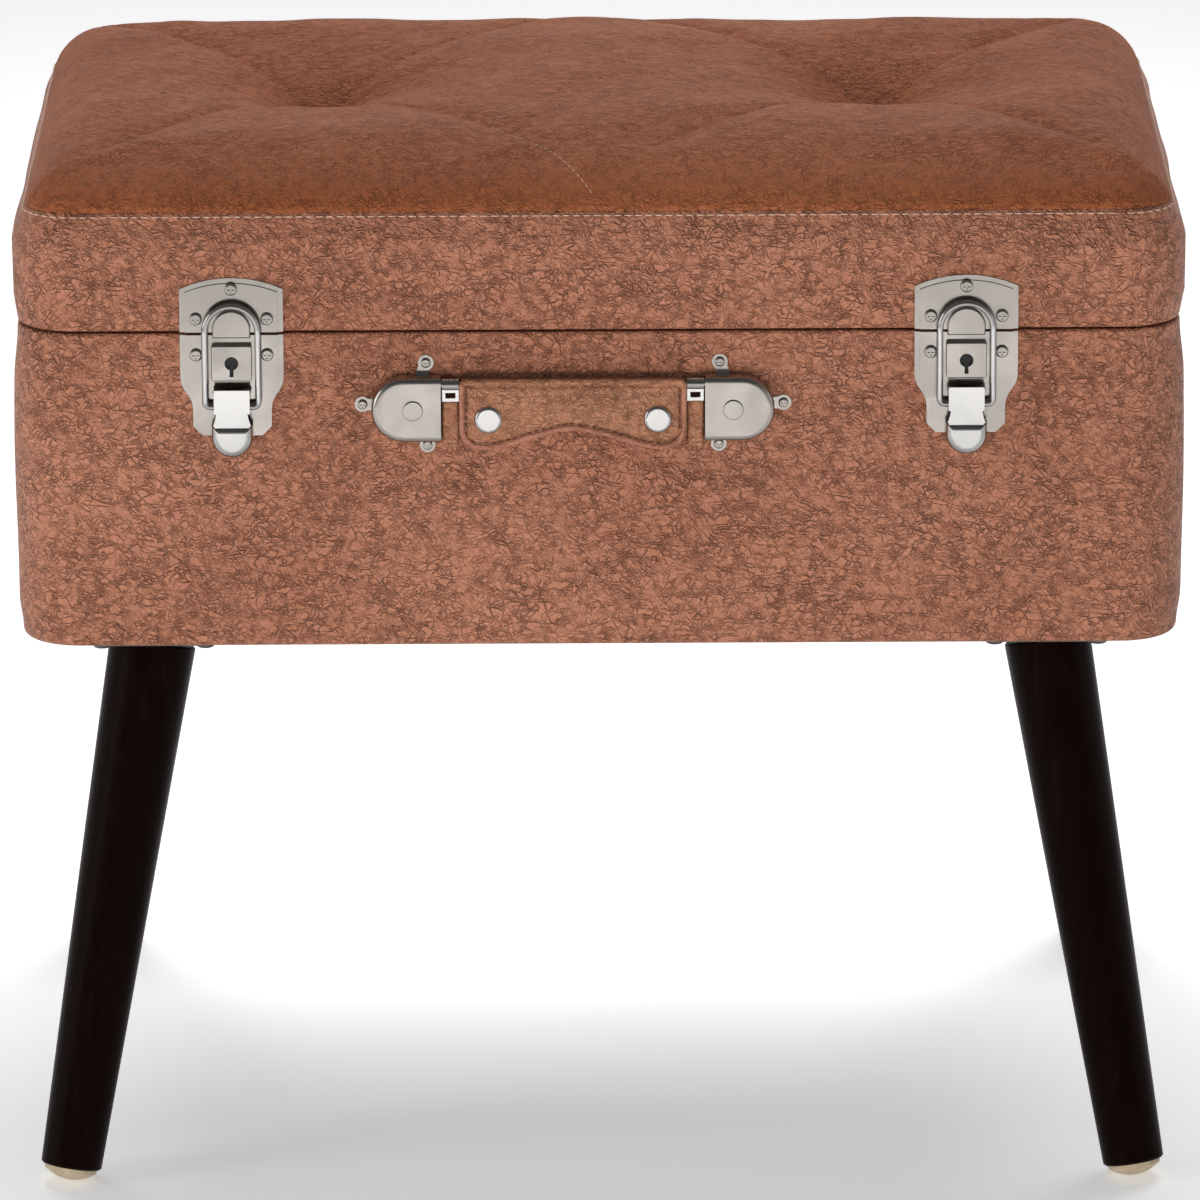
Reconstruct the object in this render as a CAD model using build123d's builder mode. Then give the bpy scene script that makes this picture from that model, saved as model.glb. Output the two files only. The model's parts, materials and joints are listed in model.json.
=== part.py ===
from build123d import *
import math
import os

# Storage ottoman built like a suitcase on four splayed legs: a padded wooden box with a lift-up seat lid,
# two draw latches and a carry handle on its front. Millimetres, +Z up, +X to the sitter's left when the
# front (-Y) is seen, origin on the floor under the middle of the box.

os.makedirs("parts", exist_ok=True)

# Driving dimensions: the box and the seat
WIDTH = 490.0
DEPTH = 315.0
SEAT_HEIGHT = 450.0
CASE_BOTTOM = 234.0
SPLIT_HEIGHT = 371.0
SEAM_HEIGHT = 422.0
CORNER_RADIUS = 25.0

# Driving dimensions: the legs
LEG_TOP_X, LEG_TOP_Y = 189.5, 119.0
FOOT_X, FOOT_Y = 228.5, 170.0
LEG_TOP_RADIUS = 18.5
LEG_END_RADIUS = 13.0

# Driving dimensions: where the hardware sits on the front and the rear
LATCH_X = 154.0
HANDLE_X = -11.0
HANDLE_PIVOT_HEIGHT = 349.8
HINGE_X = 150.0

# Material thicknesses
LEATHER = 1.0
FOAM = 2.5
BOARD = 9.0
LINING = 1.0
STEEL = 1.2
SPLIT_GAP = 0.8
DRILL_ROOM = 0.1

# Places that follow from them
BOARD_INSET = LEATHER + FOAM
CAVITY_INSET = BOARD_INSET + BOARD
CASE_TOP = SPLIT_HEIGHT - SPLIT_GAP / 2
LID_BOTTOM = SPLIT_HEIGHT + SPLIT_GAP / 2
LID_BOARD_TOP = SEAM_HEIGHT - 9.0
LID_BOARD_BOTTOM = LID_BOARD_TOP - BOARD
SIGNS = (-1, 1)
CORNERS = [(sx, sy) for sx in SIGNS for sy in SIGNS]

REAR = Plane(origin=(0, DEPTH / 2, 0), x_dir=(-1, 0, 0), z_dir=(0, 1, 0))


def front(standoff=0.0):
    """The plane of the front face, moved out by standoff; its x is X and its y is height."""
    return Plane.XZ.offset(DEPTH / 2 + standoff)


def save(builder, name):
    builder.part.label = name
    export_step(builder.part, f"parts/{name}.step")


def pegs(plane, points, radius, length):
    """Round pegs that stand on a plane; a negative length goes below it."""
    with BuildPart() as made:
        with BuildSketch(plane):
            with Locations(*points):
                Circle(radius)
        extrude(amount=length)
    return made.part


def cross_head_screws(plane, points, head_radius, head_height, shank_radius, length):
    """Pan-head screws with a cross recess: heads out of the plane, shanks into it."""
    with BuildPart() as made:
        add(pegs(plane, points, head_radius, head_height))
        rims = made.edges().group_by(Axis(plane.origin, plane.z_dir))[-1]
        fillet(rims, head_height * 0.62)
        with BuildSketch(plane.offset(head_height)):
            with Locations(*points):
                Rectangle(head_radius * 1.1, head_radius * 0.24)
                Rectangle(head_radius * 0.24, head_radius * 1.1)
        extrude(amount=-head_height * 0.5, mode=Mode.SUBTRACT)
        add(pegs(plane, points, shank_radius, -length))
    return made


def box_outline(height, inset, radius=None):
    """The rounded plan of the box at a height, drawn in from its outer face."""
    corner = CORNER_RADIUS - inset if radius is None else radius
    with BuildSketch(Plane.XY.offset(height)) as plan:
        RectangleRounded(WIDTH - 2 * inset, DEPTH - 2 * inset, corner)
    return plan.sketch


def cavity_outline(height, shrink=0.0):
    """The inner plan between the walls, stepped round the corner posts."""
    post = CORNER_RADIUS - CAVITY_INSET + shrink
    half_x = WIDTH / 2 - CAVITY_INSET - shrink
    half_y = DEPTH / 2 - CAVITY_INSET - shrink
    with BuildSketch(Plane.XY.offset(height)) as plan:
        Rectangle(2 * half_x, 2 * half_y)
        with Locations(*[(sx * (half_x - post / 2), sy * (half_y - post / 2)) for sx, sy in CORNERS]):
            Rectangle(post, post, mode=Mode.SUBTRACT)
    return plan.sketch


def corner_posts(bottom, top):
    """Four quarter-round posts between the ends of the walls."""
    radius = CORNER_RADIUS - BOARD_INSET
    centre_x = WIDTH / 2 - CORNER_RADIUS
    centre_y = DEPTH / 2 - CORNER_RADIUS
    with BuildPart() as made:
        with BuildSketch(Plane.XY.offset(bottom)):
            with Locations(*[(sx * centre_x, sy * centre_y) for sx, sy in CORNERS]):
                Circle(radius)
            Rectangle(2 * centre_x, DEPTH, mode=Mode.SUBTRACT)
            Rectangle(WIDTH, 2 * centre_y, mode=Mode.SUBTRACT)
        extrude(amount=top - bottom)
    return made


def wall(centre_x, centre_y, size_x, size_y, bottom, top, holes=()):
    """One straight board of a frame, with its screw holes."""
    with BuildPart() as made:
        with BuildSketch(Plane.XY.offset(bottom)):
            with Locations((centre_x, centre_y)):
                Rectangle(size_x, size_y)
        extrude(amount=top - bottom)
        for hole in holes:
            add(hole, mode=Mode.SUBTRACT)
    return made


WALL_X = WIDTH - 2 * CORNER_RADIUS
WALL_Y = DEPTH - 2 * CORNER_RADIUS
SIDE_CENTRE = WIDTH / 2 - BOARD_INSET - BOARD / 2
FRONT_CENTRE = DEPTH / 2 - BOARD_INSET - BOARD / 2

# ---------------------------------------------------------------- fastener places on the front and rear

PLATE_EDGE = 0.8
PLATE_FACE = 1.6
LATCH_SCREW_RADIUS = 1.3
LATCH_SCREW_LENGTH = 11.0
LATCH_SCREW_SIDE = 14.9
CATCH_SIDE_SCREW_HEIGHT = SPLIT_HEIGHT + 6.5
CATCH_TOP_SCREW_HEIGHT = SPLIT_HEIGHT + 19.3
BASE_SCREW_HEIGHT = SPLIT_HEIGHT - 9.0

catch_screw_points = []
base_screw_points = []
for side in SIGNS:
    catch_screw_points.append((side * LATCH_X, CATCH_TOP_SCREW_HEIGHT))
    for edge in SIGNS:
        catch_screw_points.append((side * LATCH_X + edge * LATCH_SCREW_SIDE, CATCH_SIDE_SCREW_HEIGHT))
        base_screw_points.append((side * LATCH_X + edge * LATCH_SCREW_SIDE, BASE_SCREW_HEIGHT))

CAP_MIDDLE_HEIGHT = 339.1
CAP_OUTER = 84.6
CAP_INNER = 55.4
CAP_RADIUS = 13.9
CAP_RISE = 9.0
CAP_WALL = 1.0
CAP_RIVET_X = 67.2
CAP_SCREW_RADIUS = 1.0
CAP_SCREW_LENGTH = 9.0
cap_screw_points = []
for side in SIGNS:
    cap_screw_points.append((HANDLE_X + side * 61.7, CAP_MIDDLE_HEIGHT + 18.8))
    cap_screw_points.append((HANDLE_X + side * 88.4, CAP_MIDDLE_HEIGHT + 0.9))
    cap_screw_points.append((HANDLE_X + side * 61.2, CAP_MIDDLE_HEIGHT - 16.8))

HINGE_AXIS_Y = DEPTH / 2 + 2.7
LEAF_WIDTH = 40.0
LEAF_HEIGHT = 24.0
HINGE_SCREW_RADIUS = 1.2
HINGE_SCREW_LENGTH = 9.0
hinge_screw_offsets = [(-12.0, 16.0), (0.0, 10.0), (12.0, 16.0)]
case_hinge_points = [(s * HINGE_X + x, SPLIT_HEIGHT - z) for s in SIGNS for x, z in hinge_screw_offsets]
lid_hinge_points = [(s * HINGE_X + x, SPLIT_HEIGHT + z) for s in SIGNS for x, z in hinge_screw_offsets]

DRILL_LENGTH = 14.0
catch_drills = pegs(front(), catch_screw_points, LATCH_SCREW_RADIUS + DRILL_ROOM, -DRILL_LENGTH)
base_drills = pegs(front(), base_screw_points, LATCH_SCREW_RADIUS + DRILL_ROOM, -DRILL_LENGTH)
cap_drills = pegs(front(), cap_screw_points, CAP_SCREW_RADIUS + DRILL_ROOM, -DRILL_LENGTH)
case_hinge_drills = pegs(REAR, case_hinge_points, HINGE_SCREW_RADIUS + DRILL_ROOM, -DRILL_LENGTH)
lid_hinge_drills = pegs(REAR, lid_hinge_points, HINGE_SCREW_RADIUS + DRILL_ROOM, -DRILL_LENGTH)
case_drills = (base_drills, cap_drills, case_hinge_drills)
lid_drills = (catch_drills, lid_hinge_drills)

# ---------------------------------------------------------------- legs, leg plates and glides

LEG_PLATE_SIDE = 56.0
LEG_PLATE_THICKNESS = 2.0
DUST_COVER = 0.6
LEG_PLATE_TOP = CASE_BOTTOM - DUST_COVER
LEG_BOLT_RADIUS = 4.0
LEG_BOLT_DEPTH = 32.0
GLIDE_RADIUS = 11.2
GLIDE_RIM = 1.8
GLIDE_DOME = 4.0
GLIDE_FLAT = 0.15
NAIL_RADIUS = 1.1
NAIL_DEPTH = 14.0
BOTTOM_BOARD = 12.0

LEG_SLOPE_X = (FOOT_X - LEG_TOP_X) / CASE_BOTTOM
LEG_SLOPE_Y = (FOOT_Y - LEG_TOP_Y) / CASE_BOTTOM
AXIS_LENGTH = math.sqrt(LEG_SLOPE_X**2 + LEG_SLOPE_Y**2 + 1)
AXIS_UPRIGHT = 1 / AXIS_LENGTH
DOME_SPHERE = (GLIDE_RADIUS**2 + GLIDE_DOME**2) / (2 * GLIDE_DOME)
DOME_CENTRE_HEIGHT = DOME_SPHERE - GLIDE_FLAT
DOME_BASE_DISTANCE = (DOME_SPHERE - GLIDE_DOME) * AXIS_UPRIGHT
LEG_END_HEIGHT = DOME_CENTRE_HEIGHT - DOME_BASE_DISTANCE + GLIDE_RIM * AXIS_UPRIGHT
LEG_TILT_RISE = LEG_TOP_RADIUS * math.sqrt(1 - AXIS_UPRIGHT**2)
LEG_TOP_HEIGHT = LEG_PLATE_TOP - LEG_PLATE_THICKNESS - LEG_TILT_RISE - 0.2
LEG_LENGTH = (LEG_TOP_HEIGHT - LEG_END_HEIGHT) * AXIS_LENGTH


def leg_plane(sx, sy, height):
    """The plane square to a leg's axis at a height, facing down the leg."""
    drop = CASE_BOTTOM - height
    origin = (sx * (LEG_TOP_X + LEG_SLOPE_X * drop), sy * (LEG_TOP_Y + LEG_SLOPE_Y * drop), height)
    return Plane(origin=origin, x_dir=(1, 0, sx * LEG_SLOPE_X), z_dir=(sx * LEG_SLOPE_X, sy * LEG_SLOPE_Y, -1))


leg_plate_screw_points = []
for sx, sy in CORNERS:
    for dx, dy in CORNERS:
        leg_plate_screw_points.append((sx * LEG_TOP_X + dx * 22.0, -(sy * LEG_TOP_Y + dy * 22.0)))
leg_plate_under = Plane(origin=(0, 0, LEG_PLATE_TOP - LEG_PLATE_THICKNESS), x_dir=(1, 0, 0), z_dir=(0, 0, -1))
plate_drills = pegs(leg_plate_under, leg_plate_screw_points, 2.0 + DRILL_ROOM, -14.0)
bolt_rooms = [pegs(leg_plane(sx, sy, CASE_BOTTOM - 4.0), [(0, 0)], 5.2, -18.0) for sx, sy in CORNERS]


def make_leg(sx, sy):
    """A round tapered leg, bored for its hanger bolt at the top and for the glide's nail at the end."""
    top = leg_plane(sx, sy, LEG_TOP_HEIGHT)
    end = leg_plane(sx, sy, LEG_END_HEIGHT)
    with BuildPart() as made:
        with BuildSketch(top):
            Circle(LEG_TOP_RADIUS)
        with BuildSketch(end):
            Circle(LEG_END_RADIUS)
        loft()
        chamfer(made.edges().filter_by(GeomType.CIRCLE), 0.8)
        add(pegs(top, [(0, 0)], LEG_BOLT_RADIUS + DRILL_ROOM, LEG_BOLT_DEPTH), mode=Mode.SUBTRACT)
        add(pegs(end, [(0, 0)], NAIL_RADIUS + DRILL_ROOM, -NAIL_DEPTH), mode=Mode.SUBTRACT)
    return made


for (sx, sy), name in zip(CORNERS, ("front_left", "rear_left", "front_right", "rear_right")):
    leg = make_leg(sx, sy)
    save(leg, f"leg_{name}")

with BuildPart() as leg_plates:
    for sx, sy in CORNERS:
        with BuildSketch(leg_plate_under):
            with Locations((sx * LEG_TOP_X, -sy * LEG_TOP_Y)):
                RectangleRounded(LEG_PLATE_SIDE, LEG_PLATE_SIDE, 6.0)
        extrude(amount=-LEG_PLATE_THICKNESS)
        with BuildSketch(leg_plane(sx, sy, LEG_TOP_HEIGHT)):
            Circle(11.0)
        extrude(amount=-12.0)
    with BuildSketch(Plane.XY.offset(LEG_PLATE_TOP)):
        Rectangle(WIDTH, DEPTH)
    extrude(amount=12.0, mode=Mode.SUBTRACT)
    add(plate_drills, mode=Mode.SUBTRACT)
    for sx, sy in CORNERS:
        add(pegs(leg_plane(sx, sy, LEG_TOP_HEIGHT), [(0, 0)], LEG_BOLT_RADIUS + DRILL_ROOM, -20.0),
            mode=Mode.SUBTRACT)
save(leg_plates, "leg_plates")

leg_plate_screws = cross_head_screws(leg_plate_under, leg_plate_screw_points, 3.9, 2.0, 2.0, 12.0)
save(leg_plate_screws, "leg_plate_screws")

with BuildPart() as hanger_bolts:
    for sx, sy in CORNERS:
        add(pegs(leg_plane(sx, sy, LEG_TOP_HEIGHT), [(0, 0)], LEG_BOLT_RADIUS, LEG_BOLT_DEPTH - 1.0))
        add(pegs(leg_plane(sx, sy, LEG_TOP_HEIGHT), [(0, 0)], LEG_BOLT_RADIUS, -14.0))
save(hanger_bolts, "hanger_bolts")

with BuildPart() as glides:
    for sx, sy in CORNERS:
        end = leg_plane(sx, sy, LEG_END_HEIGHT)
        with BuildSketch(end):
            Circle(GLIDE_RADIUS)
        extrude(amount=GLIDE_RIM)
        dome_centre = end.offset(GLIDE_RIM - (DOME_SPHERE - GLIDE_DOME))
        with BuildPart(mode=Mode.PRIVATE) as dome:
            with Locations(Location(dome_centre)):
                Sphere(DOME_SPHERE)
            split(bisect_by=end.offset(GLIDE_RIM), keep=Keep.TOP)
        add(dome.part)
        add(pegs(end, [(0, 0)], NAIL_RADIUS + DRILL_ROOM, 3.2), mode=Mode.SUBTRACT)
    with BuildSketch(Plane.XY):
        Rectangle(2 * WIDTH, 2 * DEPTH)
    extrude(amount=-10.0, mode=Mode.SUBTRACT)
save(glides, "glides")

with BuildPart() as glide_nails:
    for sx, sy in CORNERS:
        add(pegs(leg_plane(sx, sy, LEG_END_HEIGHT), [(0, 0)], NAIL_RADIUS, 3.0))
        add(pegs(leg_plane(sx, sy, LEG_END_HEIGHT), [(0, 0)], NAIL_RADIUS, -NAIL_DEPTH + 1.0))
save(glide_nails, "glide_nails")

# ---------------------------------------------------------------- the case

HEM_WIDTH = 15.0
CASE_BOARD_BOTTOM = CASE_BOTTOM + LEATHER
CASE_BOARD_TOP = CASE_TOP - LEATHER

with BuildPart() as case_cover:
    extrude(box_outline(CASE_BOTTOM, 0), amount=CASE_TOP - CASE_BOTTOM)
    bottom_rim = case_cover.edges().group_by(Axis.Z)[0]
    fillet(bottom_rim, 2.5)
    extrude(box_outline(CASE_BOARD_BOTTOM, LEATHER), amount=CASE_BOARD_TOP - CASE_BOARD_BOTTOM, mode=Mode.SUBTRACT)
    extrude(box_outline(CASE_BOTTOM, HEM_WIDTH), amount=LEATHER, mode=Mode.SUBTRACT)
    extrude(cavity_outline(CASE_BOARD_TOP), amount=LEATHER, mode=Mode.SUBTRACT)
    for drill in case_drills:
        add(drill, mode=Mode.SUBTRACT)
    add(plate_drills, mode=Mode.SUBTRACT)
save(case_cover, "case_cover")

with BuildPart() as case_padding:
    extrude(box_outline(CASE_BOARD_BOTTOM, LEATHER), amount=CASE_BOARD_TOP - CASE_BOARD_BOTTOM)
    outer_rim = case_padding.edges().group_by(Axis.Z)[0]
    fillet(outer_rim, 1.5)
    extrude(box_outline(CASE_BOARD_BOTTOM, BOARD_INSET), amount=CASE_BOARD_TOP - CASE_BOARD_BOTTOM, mode=Mode.SUBTRACT)
    for drill in case_drills:
        add(drill, mode=Mode.SUBTRACT)
save(case_padding, "case_padding")

case_span = (CASE_BOARD_BOTTOM, CASE_BOARD_TOP)
front_drills = (base_drills, cap_drills)
case_front_panel = wall(0, -FRONT_CENTRE, WALL_X, BOARD, *case_span, holes=front_drills)
save(case_front_panel, "case_front_panel")
case_rear_panel = wall(0, FRONT_CENTRE, WALL_X, BOARD, *case_span, holes=(case_hinge_drills,))
save(case_rear_panel, "case_rear_panel")
case_left_panel = wall(-SIDE_CENTRE, 0, BOARD, WALL_Y, *case_span)
save(case_left_panel, "case_left_panel")
case_right_panel = wall(SIDE_CENTRE, 0, BOARD, WALL_Y, *case_span)
save(case_right_panel, "case_right_panel")
case_corner_posts = corner_posts(*case_span)
save(case_corner_posts, "case_corner_posts")

with BuildPart() as case_bottom_panel:
    extrude(cavity_outline(CASE_BOARD_BOTTOM), amount=BOTTOM_BOARD)
    add(plate_drills, mode=Mode.SUBTRACT)
    for room in bolt_rooms:
        add(room, mode=Mode.SUBTRACT)
save(case_bottom_panel, "case_bottom_panel")

with BuildPart() as case_lining:
    extrude(cavity_outline(CASE_BOARD_BOTTOM + BOTTOM_BOARD), amount=CASE_BOARD_TOP - CASE_BOARD_BOTTOM - BOTTOM_BOARD)
    extrude(cavity_outline(CASE_BOARD_BOTTOM + BOTTOM_BOARD + LINING, LINING), amount=CASE_TOP - CASE_BOARD_BOTTOM, mode=Mode.SUBTRACT)
save(case_lining, "case_lining")

with BuildPart() as dust_cover:
    extrude(box_outline(CASE_BOTTOM - DUST_COVER, HEM_WIDTH - 8.0), amount=DUST_COVER)
    extrude(box_outline(CASE_BOTTOM, HEM_WIDTH), amount=LEATHER)
    add(plate_drills, mode=Mode.SUBTRACT)
    for room in bolt_rooms:
        add(room, mode=Mode.SUBTRACT)
save(dust_cover, "dust_cover")

# ---------------------------------------------------------------- the lid and the seat

LID_FRAME_BOTTOM = LID_BOTTOM + LEATHER
SEAT_INSET = 4.0
CROWN_ROUND = 19.0
TUFT_X = 120.0
TUFT_DEPTH = 15.0
TUFT_SPHERE = 60.0
BUTTON_RADIUS = 11.5
BUTTON_THICKNESS = 4.0
TWINE_RADIUS = 0.8
ANCHOR_RADIUS = 9.0
ANCHOR_THICKNESS = 1.5
TUFT_FLOOR = SEAT_HEIGHT - TUFT_DEPTH
tuft_points = [(side * TUFT_X, 0) for side in SIGNS]


def seat_crown(inset, drop):
    """The crowned top of the seat with its two tufted hollows, drop below the outer surface."""
    with BuildPart() as crown:
        extrude(box_outline(SEAM_HEIGHT, SEAT_INSET + inset, CORNER_RADIUS - SEAT_INSET - inset), amount=SEAT_HEIGHT - drop - SEAM_HEIGHT)
        fillet(crown.edges().group_by(Axis.Z)[-1], CROWN_ROUND - inset)
        for x, y in tuft_points:
            with Locations((x, y, TUFT_FLOOR + TUFT_SPHERE)):
                Sphere(TUFT_SPHERE + drop, mode=Mode.SUBTRACT)
    return crown.part


with BuildPart() as seat_cover:
    add(seat_crown(0.0, 0.0))
    add(seat_crown(LEATHER, LEATHER), mode=Mode.SUBTRACT)
    add(pegs(Plane.XY.offset(SEAM_HEIGHT), tuft_points, TWINE_RADIUS + DRILL_ROOM, 40.0), mode=Mode.SUBTRACT)
save(seat_cover, "seat_cover")

with BuildPart() as seat_foam:
    extrude(box_outline(LID_BOARD_TOP, LEATHER), amount=SEAM_HEIGHT - LID_BOARD_TOP)
    add(seat_crown(LEATHER, LEATHER))
    add(pegs(Plane.XY.offset(LID_BOARD_TOP), tuft_points, TWINE_RADIUS + DRILL_ROOM, 40.0), mode=Mode.SUBTRACT)
save(seat_foam, "seat_foam")

with BuildPart() as tuft_buttons:
    add(pegs(Plane.XY.offset(TUFT_FLOOR + 1.6), tuft_points, BUTTON_RADIUS, BUTTON_THICKNESS))
    fillet(tuft_buttons.edges().group_by(Axis.Z)[-1], 3.0)
    fillet(tuft_buttons.edges().group_by(Axis.Z)[0], 0.8)
save(tuft_buttons, "tuft_buttons")

with BuildPart() as tuft_twines:
    twine_foot = Plane.XY.offset(LID_BOARD_BOTTOM)
    add(pegs(twine_foot, tuft_points, TWINE_RADIUS, TUFT_FLOOR + 1.6 - LID_BOARD_BOTTOM))
save(tuft_twines, "tuft_twines")

with BuildPart() as tuft_anchors:
    add(pegs(Plane.XY.offset(LID_BOARD_BOTTOM), tuft_points, ANCHOR_RADIUS, -ANCHOR_THICKNESS))
save(tuft_anchors, "tuft_anchors")

with BuildPart() as lid_cover:
    extrude(box_outline(LID_BOTTOM, 0), amount=SEAM_HEIGHT - LID_BOTTOM)
    fillet(lid_cover.edges().group_by(Axis.Z)[-1], SEAT_INSET - 0.1)
    fillet(lid_cover.edges().group_by(Axis.Z)[0], 1.5)
    extrude(box_outline(LID_FRAME_BOTTOM, LEATHER), amount=SEAM_HEIGHT - LID_FRAME_BOTTOM, mode=Mode.SUBTRACT)
    extrude(cavity_outline(LID_BOTTOM), amount=LEATHER, mode=Mode.SUBTRACT)
    for drill in lid_drills:
        add(drill, mode=Mode.SUBTRACT)
save(lid_cover, "lid_cover")

with BuildPart() as lid_padding:
    extrude(box_outline(LID_FRAME_BOTTOM, LEATHER), amount=LID_BOARD_TOP - LID_FRAME_BOTTOM)
    extrude(box_outline(LID_FRAME_BOTTOM, BOARD_INSET), amount=LID_BOARD_TOP - LID_FRAME_BOTTOM, mode=Mode.SUBTRACT)
    for drill in lid_drills:
        add(drill, mode=Mode.SUBTRACT)
save(lid_padding, "lid_padding")

with BuildPart() as lid_panel:
    extrude(box_outline(LID_BOARD_BOTTOM, BOARD_INSET), amount=BOARD)
    add(pegs(Plane.XY.offset(LID_BOARD_BOTTOM), tuft_points, TWINE_RADIUS + DRILL_ROOM, BOARD),
        mode=Mode.SUBTRACT)
save(lid_panel, "lid_panel")

lid_span = (LID_FRAME_BOTTOM, LID_BOARD_BOTTOM)
lid_front_rail = wall(0, -FRONT_CENTRE, WALL_X, BOARD, *lid_span, holes=(catch_drills,))
save(lid_front_rail, "lid_front_rail")
lid_rear_rail = wall(0, FRONT_CENTRE, WALL_X, BOARD, *lid_span, holes=(lid_hinge_drills,))
save(lid_rear_rail, "lid_rear_rail")
with BuildPart() as lid_side_rails:
    for side in SIGNS:
        add(wall(side * SIDE_CENTRE, 0, BOARD, WALL_Y, *lid_span).part)
save(lid_side_rails, "lid_side_rails")
lid_corner_posts = corner_posts(*lid_span)
save(lid_corner_posts, "lid_corner_posts")

with BuildPart() as lid_lining:
    extrude(cavity_outline(LID_FRAME_BOTTOM), amount=LID_BOARD_BOTTOM - LID_FRAME_BOTTOM)
    extrude(cavity_outline(LID_FRAME_BOTTOM, LINING), amount=LID_BOARD_BOTTOM - LID_FRAME_BOTTOM - LINING, mode=Mode.SUBTRACT)
    add(pegs(Plane.XY.offset(LID_BOARD_BOTTOM), tuft_points, ANCHOR_RADIUS + DRILL_ROOM, -ANCHOR_THICKNESS),
        mode=Mode.SUBTRACT)
save(lid_lining, "lid_lining")

# ---------------------------------------------------------------- rear hinges

KNUCKLE_RADIUS = 2.6
HINGE_PIN_RADIUS = 1.3
MIDDLE_KNUCKLE = 6.6
KNUCKLE_GAP = 0.4


def hinge_spans(middle):
    """Start and length, along X from a hinge's middle, of the lid's knuckle or of the case's two."""
    if middle:
        return [(-MIDDLE_KNUCKLE, 2 * MIDDLE_KNUCKLE)]
    outer = LEAF_WIDTH / 2 - MIDDLE_KNUCKLE - KNUCKLE_GAP
    return [(-LEAF_WIDTH / 2, outer), (MIDDLE_KNUCKLE + KNUCKLE_GAP, outer)]


def hinge_leaves(direction, holes):
    """Two leaves on the rear face, running up (1) or down (-1) from the pin, with their knuckles."""
    with BuildPart() as made:
        for side in SIGNS:
            with BuildSketch(REAR):
                with Locations((side * HINGE_X, SPLIT_HEIGHT + direction * (KNUCKLE_RADIUS + LEAF_HEIGHT) / 2)):
                    RectangleRounded(LEAF_WIDTH, LEAF_HEIGHT - KNUCKLE_RADIUS, 2.0)
            extrude(amount=STEEL)
            for start, length in hinge_spans(direction > 0):
                with BuildSketch(Plane.YZ.offset(side * HINGE_X + start)):
                    with Locations((HINGE_AXIS_Y, SPLIT_HEIGHT)):
                        Circle(KNUCKLE_RADIUS)
                    with Locations((DEPTH / 2 + 0.1 + STEEL / 2, SPLIT_HEIGHT + direction * 3.0)):
                        Rectangle(STEEL - 0.2, 6.0)
                extrude(amount=length)
                pin_room = Plane.YZ.offset(side * HINGE_X + start)
                with BuildSketch(pin_room):
                    with Locations((HINGE_AXIS_Y, SPLIT_HEIGHT)):
                        Circle(HINGE_PIN_RADIUS + 0.05)
                extrude(amount=length, mode=Mode.SUBTRACT)
        add(holes, mode=Mode.SUBTRACT)
    return made


case_leaf_holes = pegs(REAR, case_hinge_points, HINGE_SCREW_RADIUS + DRILL_ROOM, STEEL)
lid_leaf_holes = pegs(REAR, lid_hinge_points, HINGE_SCREW_RADIUS + DRILL_ROOM, STEEL)
hinge_case_leaves = hinge_leaves(-1, case_leaf_holes)
save(hinge_case_leaves, "hinge_case_leaves")
hinge_lid_leaves = hinge_leaves(1, lid_leaf_holes)
save(hinge_lid_leaves, "hinge_lid_leaves")

with BuildPart() as hinge_pins:
    for side in SIGNS:
        for start, length, radius in ((-LEAF_WIDTH / 2, LEAF_WIDTH, HINGE_PIN_RADIUS),
                                      (-LEAF_WIDTH / 2 - 1.2, 1.2, 2.2), (LEAF_WIDTH / 2, 1.2, 2.2)):
            add(pegs(Plane.YZ.offset(side * HINGE_X + start), [(HINGE_AXIS_Y, SPLIT_HEIGHT)], radius, length))
save(hinge_pins, "hinge_pins")

screw_seat = REAR.offset(STEEL)
hinge_case_screws = cross_head_screws(screw_seat, case_hinge_points, 2.6, 1.3, HINGE_SCREW_RADIUS,
                                      HINGE_SCREW_LENGTH)
save(hinge_case_screws, "hinge_case_screws")
hinge_lid_screws = cross_head_screws(screw_seat, lid_hinge_points, 2.6, 1.3, HINGE_SCREW_RADIUS,
                                     HINGE_SCREW_LENGTH)
save(hinge_lid_screws, "hinge_lid_screws")

# ---------------------------------------------------------------- draw latches

PLATE_HALF = 21.7
PLATE_NARROW_HALF = 16.5
CATCH_BOTTOM = LID_BOTTOM + 0.2
CATCH_SHOULDER = SPLIT_HEIGHT + 19.0
CATCH_APEX = SPLIT_HEIGHT + 23.8
BASE_TOP = CASE_TOP - 0.2
BASE_SHOULDER = SPLIT_HEIGHT - 17.6
BASE_NARROW = SPLIT_HEIGHT - 34.0
BASE_BOTTOM = SPLIT_HEIGHT - 44.3
NOSE_HALF = 8.0
NOSE_TOP = SPLIT_HEIGHT + 10.2
NOSE_BOTTOM = SPLIT_HEIGHT - 1.6
NOSE_RISE = 3.4
LOCK_HALF = 8.5
LOCK_TOP = SPLIT_HEIGHT - 4.4
LOCK_BOTTOM = SPLIT_HEIGHT - 19.7
LOCK_RISE = 5.2
LEVER_PIVOT_HEIGHT = SPLIT_HEIGHT - 24.6
LEVER_PIVOT_RISE = 5.6
LEVER_PIN_RADIUS = 1.0
LEVER_FACE_OFFSET = 3.4
LEVER_HALF = 7.5
CHEEK = 1.2
BAIL_PIVOT_DROP = 6.0
WIRE_RADIUS = 1.35
BAIL_HALF = 11.15
BAIL_ARCH_HEIGHT = SPLIT_HEIGHT + 1.6
TAB_HALF = 8.6
TAB_TOP = SPLIT_HEIGHT - 38.2
TAB_BOTTOM = SPLIT_HEIGHT - 52.0


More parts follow.
